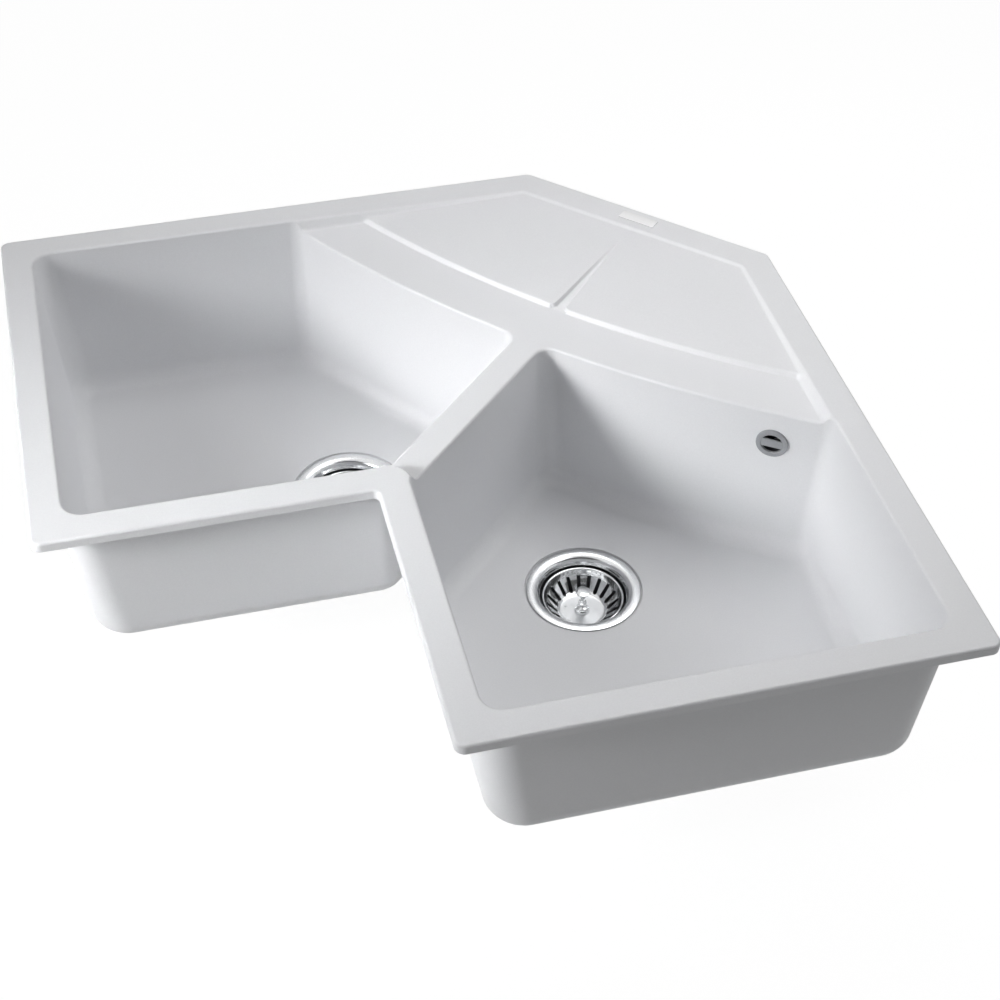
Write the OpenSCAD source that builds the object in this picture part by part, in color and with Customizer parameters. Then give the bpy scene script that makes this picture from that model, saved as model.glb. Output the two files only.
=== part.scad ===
// Corner kitchen sink with two bowls and a drainer, split into its separate pieces
// All lengths are millimetres. X and Y run along the two walls, Z is up
// Z is zero on the underside of the rim, which is where the sink rests on the worktop
// The origin is the point of that face on the mirror plane, just inside the notch

/* [Sink outline] */
// side of the square that the sink fits in
sink_size = 830; // [800:5:900]
// depth of each arm, measured from its wall
arm_depth = 500; // [480:5:520]
// length cut off each wall side by the slanting back edge
back_chamfer = 219; // [190:1:240]
// radius of the outer corners seen from above
corner_r = 10; // [4:1:20]
// radius of the inward corner at the notch
notch_r = 6; // [3:1:15]
// thickness of the rim
rim_t = 11; // [9:0.5:14]
// rounding of the top edge of the rim
edge_r = 3; // [1:0.5:4]
// width of the raised rim
rim_w = 33; // [30:0.5:38]
// wall thickness of the bowls
wall_t = 9; // [7:0.5:10]

/* [Recess and drainer] */
// sideways run of the slope from the rim down to the recess
step_run = 8; // [2:0.5:8]
// plan radius of the recess at the two back corners
recess_r = 12; // [6:1:20]
// plan radius of the recess at the four arm corners, inside the bowl corners
recess_arm_r = 32; // [28:1:40]
// radius of the rim corner behind the notch
recess_notch_r = 22; // [10:1:30]
// radius of the drainer edge
drainer_arc_r = 1265; // [1200:5:1400]
// distance of the middle of the drainer edge from the centre, along the diagonal
drainer_mid = 233; // [225:1:240]
// height of the drainer above the recess at its edge
drainer_low = 4.5; // [3:0.5:6]
// height of the drainer above the recess at the back rim
drainer_high = 9; // [7:0.5:10]
// run of the slope at the drainer edge
drainer_run = 2; // [0.5:0.5:4]
// width of the run-off groove where it meets the band
groove_w = 12; // [8:1:16]
// distance of the groove tip from the centre, along the diagonal
groove_tip = 377; // [350:1:382]
// thickness under the recess
band_t = 9; // [8:0.5:12]
// depth of the drainer underside below the worktop level
drainer_under = 4.5; // [3:0.5:8]
// diameter of the blind tap hole under the band
tap_d = 35; // [32:1:38]
// depth of the blind tap hole
tap_deep = 5; // [3:0.5:6]

/* [Bowls] */
// depth of each bowl below the rim top
bowl_depth = 190; // [170:1:200]
// thickness of the bowl floor
floor_t = 10; // [8:0.5:12]
// width of the divider between the bowls
divider_w = 32; // [28:1:40]
// radius of the long curved bowl side
bowl_arc_r = 1410; // [1300:5:1500]
// distance of the middle of the curved side from the centre, along the diagonal
bowl_arc_mid = 170; // [160:1:175]
// plan radius of the bowl corners at the arm ends
bowl_r = 21; // [16:1:26]
// plan radius of the bowl corners at the band and the divider
bowl_band_r = 16; // [12:1:22]
// extra plan radius of the corners at the floor
bowl_r_grow = 9; // [4:1:10]
// radius between walls and floor
bowl_floor_r = 20; // [14:1:21]
// inward lean of the arm end wall over the bowl depth
lean_end = 17; // [8:1:20]
// inward lean of the wall along the outer edge
lean_outer = 7; // [4:1:12]
// inward lean of the curved wall
lean_arc = 3; // [1:1:8]
// inward lean of the wall at the divider
lean_divider = 10; // [6:1:14]
// inward lean of the wall beside the notch
lean_notch = 20; // [8:1:22]

/* [Waste set] */
// drain centre of the right bowl, sideways
drain_x = 129; // [120:1:140]
// drain centre of the right bowl, front to back
drain_y = -81.5; // [-90:0.5:-75]
// outer radius of the lower body, which sizes the flange, cup, collar and basket
body_r = 51; // [50.6:0.1:52]
// how far the flange stands out past the lower body
flange_over = 9.5; // [8:0.5:10]
// thickness of the flange sheet
flange_t = 1.2; // [0.8:0.1:1.5]
// how far inside the lower body's radius the flange turns down into the cup
turn_in = 1.5; // [1:0.5:2]
// how far the cup's bore is inside the lower body's radius
cup_in = 5.6; // [5.4:0.1:6.2]
// how much smaller the cup's bore is at its bottom
cup_taper = 11.4; // [10:0.2:13]
// depth of the cup bottom below the bowl floor
cup_deep = 42.1; // [42:0.1:44]
// depth of the round seat for the flange
seat_deep = 2.4; // [2:0.1:3]
// room round the flange in its seat
seat_room = 1.5; // [1:0.5:3]
// how much smaller the hole through the bowl floor is than the lower body
hole_in = 1; // [0.6:0.1:1.5]
// how far the collar of the lower body and its gasket stand out
collar_over = 7; // [5:0.5:9]
// thickness of the gasket under the floor
gasket_t = 2.5; // [2:0.5:3]
// thickness of the collar
collar_t = 4; // [3:0.5:5]
// wall of the lower body
body_wall = 3; // [2.5:0.1:3.2]
// depth of the lower body floor below the bowl floor
body_deep = 71; // [70:0.5:75]
// outer radius of the outlet thread
outlet_r = 23.9; // [20.9:0.1:29.9]
// inner radius of the outlet
outlet_bore_r = 20; // [17:0.5:20]
// length of the outlet thread
outlet_len = 22; // [18:1:30]
// radius of the clamping screw
screw_r = 3; // [2.5:0.5:4]

/* [Strainer basket] */
// room round the basket rim in the cup
basket_room = 2.2; // [1.6:0.1:3.4]
// depth of the basket rim below the bowl floor
basket_rim_deep = 11; // [10:0.5:12]
// depth of the basket floor below the bowl floor
basket_floor_deep = 33; // [32:0.5:34]
// how much smaller the flat basket floor is than the rim
basket_taper = 18.2; // [17:0.2:19]
// thickness of the basket sheet
basket_t = 0.8; // [0.6:0.1:1]
// number of slots
slot_count = 20; // [16:1:22]
// width of a slot
slot_w = 2.7; // [2:0.1:3]
// radius of the cap of the pull post
post_cap_r = 8.1; // [7:0.1:9]
// how far the plug lip stands out past the basket floor
plug_over = 2; // [1:0.5:3]

/* [Overflow] */
// distance of the overflow from the diagonal
over_u = 275; // [265:1:280]
// depth of the overflow centre below the rim top
over_deep = 50; // [46:1:60]
// outer diameter of the overflow ring
ring_d = 35.4; // [34:0.2:37]
// opening diameter of the overflow ring
ring_bore_d = 23.2; // [22:0.2:24]
// thickness of the ring in front of its seat
ring_t = 3.1; // [2.5:0.1:4]
// radius of the hole through the bowl wall
over_hole_r = 13.6; // [13:0.1:14]
// outer radius of the overflow pipe
pipe_r = 11; // [10:0.5:11]
// bore radius of the overflow pipe
pipe_bore_r = 9.5; // [8.5:0.1:9.6]
// outer radius of the pipe sockets
socket_r = 13; // [12.5:0.1:13.5]
// distance of the upright pipe behind the bowl surface
pipe_back = 27; // [27:0.5:28]
// depth of the level pipe below the bowl floor
pipe_deep = 57; // [56:0.5:58]
// outer radius of the pipe nuts
nut_r = 17.5; // [16.5:0.5:18]
// length of a pipe nut
nut_len = 18; // [14:1:22]

/* [Small pieces] */
// length of the blank plate on the back rim
plate_l = 43.8; // [35:0.2:60]
// width of the blank plate
plate_w = 13.8; // [10:0.2:18]
// thickness of the blank plate
plate_t = 0.8; // [0.5:0.1:1.5]
// distance of the seal tape from the rim edge
seal_in = 6; // [4:0.5:8]
// width of the seal tape
seal_w = 8; // [6:0.5:8]
// depth of the seal tape in its groove
seal_t = 2; // [1:0.5:3]

/* [Quality] */
// segments in each rounded corner
corner_seg = 6; // [4:1:8]
// segments along each long curve
arc_seg = 12; // [8:1:16]
// steps in each floor rounding
floor_seg = 4; // [3:1:6]
// facets of the round pieces
round_fn = 72; // [48:4:96]

/* [Hidden] */
over = 1;
gap = 0.3;
seat_in = 20;
r2 = sqrt(2);
half = sink_size / 2;
inner = half - arm_depth;
seat_at = -inner - seat_in;
diag_edge = (sink_size - back_chamfer) / r2;
floor_z = rim_t - bowl_depth;
under_z = floor_z - floor_t;
fit = 0.1;
drainer_back = diag_edge - rim_w - step_run;
slope = atan((drainer_high - drainer_low) / (drainer_back - drainer_mid));
tap_v = (bowl_arc_mid + drainer_mid) / 2 - 1;
// flange, seat and cup, all from the radius of the lower body
flange_d = 2 * (body_r + flange_over);
flange_turn_r = body_r - turn_in;
cup_r = body_r - cup_in;
cup_low_r = cup_r - cup_taper;
seat_r = flange_d / 2 + seat_room;
drain_hole_r = body_r - hole_in;
collar_r = body_r + collar_over;
seal_in_r = drain_hole_r + 1.5;
cup_turn = 7;
cup_wall_low = 21;
cup_hole_at = cup_low_r * 10 / 17;
cup_hole_r = cup_low_r * 3.5 / 17;
// lower waste body
body_top = -floor_t - gasket_t;
spur_in = body_r - body_wall / 2 - 1;
funnel_h = 8;
boss_r = 6;
boss_proud = 0.8;
web_w = 3;
web_h = 8;
web_top = -cup_deep - flange_t - 1.8;
spur_end = body_r + 23;
socket_deep = 12;
screw_head_r = 7;
screw_head_h = 2.6;
// basket
basket_r = cup_r - basket_room;
basket_floor_r = basket_r - basket_taper;
plug_r = basket_floor_r + plug_over;
bk_top = -basket_rim_deep;
bk_low = -basket_floor_deep;
bk_mid_r = basket_r - 4.7;
bk_mid = bk_top - 7;
lip_t = 1.6;
slot_in = basket_floor_r + 3;
slot_out = bk_mid_r - 2;
stem_r = 2.4;
ball_r = 4.7;
ferrule_r = 8.1;
plug_low = -cup_deep + gap + screw_head_h;
plug_top_r = plug_r - 7;
plug_skirt = 1.5;
// overflow
ring_seat = 0.5;
outer_seat = wall_t - 0.5;
sleeve_r = 12.6;
sleeve_bore_r = 11;
sleeve_l = 20;
bar_h = 7.6;
gasket2_t = 2;
can_r = 17;
can_l = 30;
can_wall = 2.5;
drop_len = 36;
elbow_arm = 32;
nut_lip = 5;
over_z = rim_t - over_deep;
over_arc = bowl_arc_r + lean_arc * over_deep / bowl_depth;
over_mid = bowl_arc_mid + bowl_arc_r;
over_v = over_mid - sqrt(over_arc * over_arc - over_u * over_u);

// diagonal coordinates: u across it, v along it towards the back
function uv(u, v) = [(u + v) / r2, (v - u) / r2];
function dot2(a, b) = a[0] * b[0] + a[1] * b[1];
function turn(a) = a > 180 ? a - 360 : a < -180 ? a + 360 : a;
over_pos = uv(over_u, over_v);
over_dir = uv(-over_u / over_arc, (over_mid - over_v) / over_arc);
over_ang = atan2(over_dir[1], over_dir[0]);
elbow_at = over_pos + pipe_back * over_dir;
run_vec = elbow_at - [drain_x, drain_y];
run_len = norm(run_vec);
spur_ang = atan2(run_vec[1], run_vec[0]);
pipe_z = floor_z - pipe_deep;
down_top = over_z - drop_len + socket_deep - gap;
down_low = pipe_z + elbow_arm - socket_deep + gap;
tap_at = uv(0, tap_v);

// a side is a straight line [0, nx, ny, offset] or an arc [1, cx, cy, radius]
function moved(s, d) = [s[0], s[1], s[2], s[3] + d];
function meet_lines(a, b) = let(k = a[1] * b[2] - a[2] * b[1])
    [(a[3] * b[2] - b[3] * a[2]) / k, (a[1] * b[3] - b[1] * a[3]) / k];
// the point where a line meets an arc, on the given side along the line
function meet_arc(l, c, way) = let(n = [l[1], l[2]], t = [-l[2], l[1]], m = [c[1], c[2]],
    foot = m + (l[3] - dot2(n, m)) * n, q = sqrt(c[3] * c[3] - dot2(foot - m, foot - m)))
    foot + way * q * t;
function meet(a, b) = a[0] == 0 && b[0] == 0 ? meet_lines(a, b)
    : a[0] == 0 ? meet_arc(a, b, 1) : meet_arc(b, a, -1);
function touch(s, p, r) = s[0] == 0 ? p - r * [s[1], s[2]]
    : let(m = [s[1], s[2]]) m + (p - m) * (s[3] / (s[3] + r));
function corner_pts(a, b, r) = let(p = meet(moved(a, r), moved(b, r)),
    q = touch(a, p, r) - p, w = touch(b, p, r) - p, a0 = atan2(q[1], q[0]),
    da = turn(atan2(w[1], w[0]) - a0))
    [for (i = [0:corner_seg]) p + abs(r) * [cos(a0 + da * i / corner_seg), sin(a0 + da * i / corner_seg)]];
function arc_pts(s, p, q) = let(m = [s[1], s[2]], a0 = atan2(p[1] - m[1], p[0] - m[0]),
    da = turn(atan2(q[1] - m[1], q[0] - m[0]) - a0))
    [for (i = [1:arc_seg - 1]) m + s[3] * [cos(a0 + da * i / arc_seg), sin(a0 + da * i / arc_seg)]];
// closed outline from its sides and the radius after each side
function outline(sides, radii) = let(n = len(sides),
    c = [for (i = [0:n - 1]) corner_pts(sides[i], sides[(i + 1) % n], radii[i])])
    [for (i = [0:n - 1]) each concat(sides[i][0] == 1
        ? arc_pts(sides[i], c[(i + n - 1) % n][corner_seg], c[i][0]) : [], c[i])];

// solid through a stack of outlines with the same number of points
// the first point of an outline sees all of it, so the end faces can fan out from there
module loft(rings, heights) {
    n = len(rings[0]);
    m = len(rings);
    pts = [for (k = [0:m - 1]) for (p = rings[k]) [p[0], p[1], heights[k]]];
    sides = [for (k = [0:m - 2]) for (i = [0:n - 1]) let(j = (i + 1) % n)
        each [[k * n + i, (k + 1) * n + j, k * n + j], [k * n + i, (k + 1) * n + i, (k + 1) * n + j]]];
    polyhedron(concat(pts), concat(sides,
        [[for (i = [0:n - 1]) i]], [[for (i = [n - 1:-1:0]) (m - 1) * n + i]]), convexity = 8);
}

// outline of the sink from above, moved in by a distance, with its corner radii
function rim_sides(d) = [
    [0, -1, 0, -half + d], [0, -1 / r2, -1 / r2, -diag_edge + d], [0, 0, -1, -half + d],
    [0, 1, 0, -half + d], [0, 0, 1, inner + d], [0, 1, 0, inner + d], [0, 0, 1, -half + d]];
function rim_ring(d, arm, back, notch) =
    outline(rim_sides(d), [back, back, arm, arm, -notch, arm, arm]);
function sink_ring(d) = rim_ring(d, corner_r - min(d, corner_r - 1), corner_r - min(d, corner_r - 1), notch_r + d);
function recess_ring(d) = rim_ring(rim_w + gap + d, recess_arm_r, recess_r, recess_notch_r + d);

// right bowl from above at a share of its depth, grown by a thickness and moved in by a distance
function bowl_sides(t, g, d) = [
    [0, 0, 1, -half + rim_w + lean_end * t - g + d],
    [0, -1, 0, -half + rim_w + lean_outer * t - g + d],
    [1, (bowl_arc_mid + bowl_arc_r) / r2, (bowl_arc_mid + bowl_arc_r) / r2, bowl_arc_r + lean_arc * t - g + d],
    [0, 1 / r2, -1 / r2, divider_w / 2 + lean_divider * t - g + d],
    [0, 1, 0, inner + rim_w + lean_notch * t - g + d]];
function bowl_ring(t, g, d) = let(ra = bowl_r + bowl_r_grow * t + g - d, rb = bowl_band_r + bowl_r_grow * t + g - d)
    outline(bowl_sides(t, g, d), [ra, rb, rb, rb, ra]);
module bowl_shape(g, top, low, fr) {
    zs = concat([top], [for (i = [0:floor_seg]) low + fr * (1 - sin(90 * i / floor_seg))]);
    ds = concat([0], [for (i = [0:floor_seg]) fr * (1 - cos(90 * i / floor_seg))]);
    loft([for (i = [len(zs) - 1:-1:0]) bowl_ring((rim_t - zs[i]) / bowl_depth, g, ds[i])],
        [for (i = [len(zs) - 1:-1:0]) zs[i]]);
}
module both() {
    children();
    mirror([1, -1, 0]) children();
}

// sink body

module over_place() translate([over_pos[0], over_pos[1], over_z]) rotate([0, 0, over_ang]) children();
module along_x(d) translate([d, 0, 0]) rotate([0, 90, 0]) children();

module drainer_block() {
    intersection() {
        translate([(drainer_mid + drainer_arc_r) / r2, (drainer_mid + drainer_arc_r) / r2, -over])
            cylinder(h = rim_t + over, r1 = drainer_arc_r + drainer_run, r2 = drainer_arc_r, $fn = 6 * round_fn);
        rotate([0, 0, 45]) translate([drainer_mid, 0, drainer_low]) rotate([0, -slope, 0])
            translate([-half, -half, -sink_size]) cube(sink_size);
    }
}
module groove_cut() {
    mouth = drainer_mid - 2 * drainer_run;
    rotate([0, 0, 45]) polyhedron(
        [[mouth, -groove_w / 2, 0], [mouth, groove_w / 2, 0], [groove_tip, 0, drainer_high - gap],
         [mouth, -groove_w / 2, rim_t], [mouth, groove_w / 2, rim_t], [groove_tip, 0, rim_t]],
        [[0, 2, 1], [3, 4, 5], [0, 1, 4, 3], [1, 2, 5, 4], [2, 0, 3, 5]]);
}
module under_plates() {
    low_ring = rim_ring(rim_w + step_run - wall_t, recess_arm_r, recess_r, recess_notch_r);
    reach = drainer_mid + wall_t;
    intersection() {
        translate([0, 0, -band_t]) linear_extrude(band_t + over) polygon(low_ring);
        rotate([0, 0, 45]) translate([reach - sink_size, -half, -half]) cube(sink_size);
    }
    translate([0, 0, -drainer_under]) linear_extrude(drainer_under + over) polygon(low_ring);
}
module drain_cut() {
    translate([drain_x, drain_y, under_z - over]) cylinder(h = floor_t + 2 * over, r = drain_hole_r, $fn = round_fn);
    translate([drain_x, drain_y, floor_z - seat_deep]) cylinder(h = seat_deep + over, r = seat_r, $fn = round_fn);
}
module seal_band(extra) {
    translate([0, 0, -extra]) linear_extrude(seal_t + extra) difference() {
        polygon(sink_ring(seal_in));
        polygon(sink_ring(seal_in + seal_w));
    }
}
// the last facet of the rounded edge runs on above the rim and is cut off level
module rim_plate() difference() {
    loft([sink_ring(0), sink_ring(0), sink_ring(edge_r * (1 - cos(30))), sink_ring(edge_r * (1 - cos(60))),
        sink_ring(edge_r + gap * cos(60) / (1 - sin(60)))],
        [0, rim_t - edge_r, rim_t - edge_r * (1 - sin(30)), rim_t - edge_r * (1 - sin(60)), rim_t + gap]);
    translate([-sink_size, -sink_size, rim_t]) cube(2 * sink_size);
}
module sink_body() color([0.93, 0.93, 0.94]) difference() {
    union() {
        rim_plate();
        under_plates();
        both() bowl_shape(wall_t, over, under_z, bowl_floor_r + wall_t);
    }
    difference() {
        loft([recess_ring(step_run), recess_ring(0), recess_ring(0)], [0, rim_t, rim_t + over]);
        drainer_block();
    }
    groove_cut();
    both() bowl_shape(0, rim_t + over, floor_z, bowl_floor_r);
    both() drain_cut();
    over_place() {
        along_x(-over) cylinder(h = wall_t + 2 * over, r = over_hole_r, $fn = round_fn);
        along_x(ring_seat - over) cylinder(h = over, r = ring_d / 2 + gap, $fn = round_fn);
        along_x(outer_seat) cylinder(h = over, r = 2 * pipe_r + over, $fn = round_fn);
    }
    translate([tap_at[0], tap_at[1], -band_t - over]) cylinder(h = tap_deep + over, r = tap_d / 2, $fn = round_fn);
    seal_band(over);
}

// small pieces on the rim
module name_plate() color([0.95, 0.95, 0.96]) rotate([0, 0, 45])
    translate([diag_edge - rim_w / 2 - plate_w / 2, -plate_l / 2, rim_t]) cube([plate_w, plate_l, plate_t]);
module rim_seal() color([0.25, 0.25, 0.27]) seal_band(0);

// waste set, drawn about the drain axis with Z zero on the bowl floor
module waste_flange() color([0.80, 0.81, 0.83]) difference() {
    rotate_extrude($fn = round_fn) polygon([
        [flange_d / 2, -flange_t], [flange_d / 2, -flange_t / 2], [flange_d / 2 - flange_t, 0],
        [flange_turn_r + flange_t, 0], [flange_turn_r - flange_t, -cup_turn / 6],
        [cup_r + flange_t, -cup_turn / 2], [cup_r, -cup_turn], [cup_r, -cup_wall_low],
        [cup_low_r, -cup_deep + flange_t], [cup_low_r - flange_t, -cup_deep], [0, -cup_deep],
        [0, -cup_deep - flange_t], [cup_low_r, -cup_deep - flange_t], [cup_low_r + flange_t, -cup_deep],
        [cup_r + flange_t, -cup_wall_low - flange_t / 2], [cup_r + flange_t, -cup_turn - flange_t / 2],
        [cup_r + 2 * flange_t, -cup_turn / 2 - flange_t / 2], [flange_turn_r, -cup_turn / 6 - flange_t],
        [flange_turn_r + flange_t, -flange_t]]);
    translate([0, 0, -cup_deep - flange_t - over]) cylinder(h = flange_t + 2 * over, r = screw_r + gap, $fn = 24);
    for (i = [0:5]) rotate([0, 0, 60 * i]) translate([cup_hole_at, 0, -cup_deep - flange_t - over])
        cylinder(h = flange_t + 2 * over, r = cup_hole_r, $fn = 32);
}
module flange_seal() color([0.12, 0.12, 0.13]) translate([0, 0, -seat_deep])
    tube(seat_deep - flange_t, flange_d / 2 - over, seal_in_r);
module tube(h, ro, ri) difference() {
    cylinder(h = h, r = ro, $fn = round_fn);
    translate([0, 0, -over]) cylinder(h = h + 2 * over, r = ri, $fn = round_fn);
}
module body_gasket() color([0.12, 0.12, 0.13]) translate([0, 0, -floor_t - gasket_t])
    tube(gasket_t, collar_r, body_r - body_wall + over);
module waste_body(spur) color([0.16, 0.16, 0.17]) difference() {
    union() {
        rotate_extrude($fn = round_fn) polygon([
            [body_r - body_wall, body_top], [collar_r, body_top], [collar_r, body_top - collar_t],
            [body_r, body_top - collar_t], [body_r, -body_deep], [outlet_r, -body_deep - funnel_h],
            [outlet_r, -body_deep - funnel_h - outlet_len], [outlet_bore_r, -body_deep - funnel_h - outlet_len],
            [outlet_bore_r, -body_deep - funnel_h + body_wall], [body_r - body_wall, -body_deep + body_wall]]);
        for (a = [45, 135]) rotate([0, 0, a]) translate([-body_r + body_wall / 2, -web_w / 2, web_top - web_h])
            cube([2 * body_r - body_wall, web_w, web_h]);
        translate([0, 0, web_top - web_h - boss_proud]) cylinder(h = web_h + 2 * boss_proud, r = boss_r, $fn = 36);
        if (spur) rotate([0, 0, spur_ang]) translate([0, 0, -pipe_deep]) along_x(spur_in)
            cylinder(h = spur_end - spur_in, r = socket_r, $fn = 48);
    }
    if (spur) rotate([0, 0, spur_ang]) translate([0, 0, -pipe_deep]) {
        along_x(spur_in - body_wall) cylinder(h = spur_end - spur_in + body_wall + over, r = pipe_bore_r, $fn = 48);
        along_x(spur_end - socket_deep) cylinder(h = socket_deep + over, r = pipe_r + fit, $fn = 48);
    }
    translate([0, 0, web_top - web_h - 2 * over]) cylinder(h = web_h + 4 * over, r = screw_r, $fn = 24);
}
module waste_screw() color([0.80, 0.81, 0.83]) {
    translate([0, 0, -cup_deep]) cylinder(h = screw_head_h, r = screw_head_r, $fn = 36);
    translate([0, 0, web_top - web_h]) cylinder(h = web_h - cup_deep - web_top, r = screw_r, $fn = 24);
}

// strainer basket with its pull post and plug
module basket() color([0.82, 0.83, 0.85]) difference() {
    rotate_extrude($fn = round_fn) polygon([
        [basket_r, bk_top], [basket_r, bk_top - lip_t], [basket_r - lip_t, bk_top - lip_t],
        [bk_mid_r, bk_mid], [basket_floor_r, bk_low - basket_t], [0, bk_low - basket_t],
        [0, bk_low], [basket_floor_r - basket_t / 2, bk_low], [bk_mid_r - basket_t, bk_mid + basket_t / 2],
        [basket_r - lip_t - basket_t, bk_top]]);
    for (i = [0:slot_count - 1]) rotate([0, 0, (i + 0.5) * 360 / slot_count]) {
        translate([slot_in, -slot_w / 2, bk_low - over]) cube([slot_out - slot_in, slot_w, basket_floor_deep]);
        for (x = [slot_in, slot_out]) translate([x, 0, bk_low - over]) cylinder(h = basket_floor_deep, r = slot_w / 2, $fn = 16);
    }
    translate([0, 0, bk_low - basket_t - over]) cylinder(h = basket_t + 2 * over, r = stem_r, $fn = 24);
}
module basket_handle() color([0.82, 0.83, 0.85]) {
    rotate_extrude($fn = 48) polygon([
        [0, plug_low + gap], [stem_r, plug_low + gap], [stem_r, bk_low], [ferrule_r, bk_low],
        [ferrule_r, bk_low + 3], [ferrule_r - 1, bk_low + 4.4], [ferrule_r - 2.6, bk_low + 6],
        [stem_r, bk_low + 6.8], [stem_r, bk_low + 20], [post_cap_r - 3, bk_low + 21],
        [post_cap_r - 0.8, bk_low + 23.4], [post_cap_r, bk_low + 26], [post_cap_r - 0.6, bk_low + 27.4],
        [post_cap_r - 2.6, bk_low + 28.8], [0, bk_low + 29.4]]);
    translate([0, 0, bk_low + 6.8 + ball_r]) sphere(r = ball_r, $fn = 32);
}
module basket_plug() color([0.13, 0.13, 0.14]) difference() {
    rotate_extrude($fn = round_fn) polygon([
        [0, plug_low], [plug_r - plug_skirt, plug_low], [plug_r, plug_low + plug_skirt],
        [plug_r - plug_skirt, plug_low + 2 * plug_skirt], [plug_top_r, plug_low + 2 * plug_skirt],
        [plug_top_r, bk_low - basket_t], [0, bk_low - basket_t]]);
    translate([0, 0, plug_low - over]) cylinder(h = basket_floor_deep, r = stem_r, $fn = 24);
}

// overflow, drawn with X pointing out through the bowl wall
module overflow_ring() color([0.56, 0.57, 0.59]) over_place() {
    along_x(ring_seat - ring_t) tube(ring_t, ring_d / 2, ring_bore_d / 2);
    along_x(ring_seat - over) tube(sleeve_l + over, sleeve_r, sleeve_bore_r);
    translate([ring_seat - ring_t + over, -ring_d / 2 + 2, -bar_h / 2])
        cube([ring_t - over, ring_d - 4, bar_h]);
}
module overflow_gasket() color([0.12, 0.12, 0.13]) over_place() along_x(outer_seat)
    tube(gasket2_t, 2 * pipe_r, over_hole_r + gap);
module overflow_body() color([0.16, 0.16, 0.17]) over_place() difference() {
    union() {
        along_x(outer_seat + gasket2_t) cylinder(h = 3, r = 2 * pipe_r, $fn = 48);
        along_x(outer_seat + gasket2_t) cylinder(h = can_l, r = can_r, $fn = 48);
        translate([pipe_back, 0, -drop_len]) cylinder(h = drop_len, r = socket_r, $fn = 48);
    }
    along_x(outer_seat + gasket2_t - over) cylinder(h = can_l - can_wall + over, r = can_r - can_wall - over, $fn = 48);
    translate([pipe_back, 0, -drop_len - over]) cylinder(h = drop_len + over, r = pipe_bore_r, $fn = 48);
    translate([pipe_back, 0, -drop_len - over]) cylinder(h = socket_deep + over, r = pipe_r + fit, $fn = 48);
}
module elbow_place() translate([elbow_at[0], elbow_at[1], pipe_z]) rotate([0, 0, spur_ang + 180]) children();
module overflow_pipe_down() color([0.92, 0.92, 0.93])
    translate([elbow_at[0], elbow_at[1], down_low]) tube(down_top - down_low, pipe_r, pipe_bore_r);
module overflow_elbow() color([0.16, 0.16, 0.17]) elbow_place() difference() {
    union() {
        cylinder(h = elbow_arm, r = socket_r, $fn = 48);
        sphere(r = socket_r, $fn = 48);
        along_x(0) cylinder(h = elbow_arm, r = socket_r, $fn = 48);
    }
    cylinder(h = elbow_arm + over, r = pipe_bore_r, $fn = 48);
    sphere(r = pipe_bore_r, $fn = 48);
    along_x(0) cylinder(h = elbow_arm + over, r = pipe_bore_r, $fn = 48);
    translate([0, 0, elbow_arm - socket_deep]) cylinder(h = socket_deep + over, r = pipe_r + fit, $fn = 48);
    along_x(elbow_arm - socket_deep) cylinder(h = socket_deep + over, r = pipe_r + fit, $fn = 48);
}
module overflow_pipe_level() color([0.92, 0.92, 0.93]) elbow_place()
    along_x(elbow_arm - socket_deep + gap) tube(run_len - elbow_arm - spur_end + 2 * socket_deep - 2 * gap, pipe_r, pipe_bore_r);
module nut() difference() {
    cylinder(h = nut_len, r = nut_r, $fn = 8);
    translate([0, 0, -over]) cylinder(h = nut_len - nut_lip + over, r = socket_r + fit, $fn = 48);
    cylinder(h = nut_len + over, r = pipe_r + fit, $fn = 48);
}
module pipe_nuts() color([0.16, 0.16, 0.17]) {
    over_place() translate([pipe_back, 0, -drop_len + nut_len - nut_lip - gap]) mirror([0, 0, 1]) nut();
    elbow_place() {
        translate([0, 0, elbow_arm - nut_len + nut_lip + gap]) nut();
        along_x(elbow_arm - nut_len + nut_lip + gap) nut();
        along_x(run_len - spur_end + nut_len - nut_lip - gap) mirror([0, 0, 1]) nut();
    }
}

module seated() translate([seat_at, seat_at, 0]) children();
module right_drain() seated() translate([drain_x, drain_y, floor_z]) children();
module left_drain() seated() translate([drain_y, drain_x, floor_z]) children();

seated() sink_body();
seated() name_plate();
seated() rim_seal();
left_drain() waste_flange();  // left_flange
left_drain() flange_seal();  // left_flange_seal
left_drain() waste_body(false);  // left_body
left_drain() body_gasket();  // left_body_gasket
left_drain() waste_screw();  // left_screw
left_drain() basket();  // left_basket
left_drain() basket_handle();  // left_basket_post
left_drain() basket_plug();  // left_basket_plug
right_drain() waste_flange();  // right_flange
right_drain() flange_seal();  // right_flange_seal
right_drain() waste_body(true);  // right_body
right_drain() body_gasket();  // right_body_gasket
right_drain() waste_screw();  // right_screw
right_drain() basket();  // right_basket
right_drain() basket_handle();  // right_basket_post
right_drain() basket_plug();  // right_basket_plug
seated() overflow_ring();
seated() overflow_gasket();
seated() overflow_body();
seated() overflow_pipe_down();
seated() overflow_elbow();
seated() overflow_pipe_level();
seated() pipe_nuts();
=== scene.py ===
"""Looks of a white composite corner sink with two bowls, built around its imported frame."""
from __future__ import annotations

import logging
import math
from dataclasses import dataclass, field
from enum import Enum
from functools import cached_property
from typing import Callable, Sequence

import bpy
import numpy as np
from mathutils import Matrix, Vector
from mathutils.geometry import delaunay_2d_cdt

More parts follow.
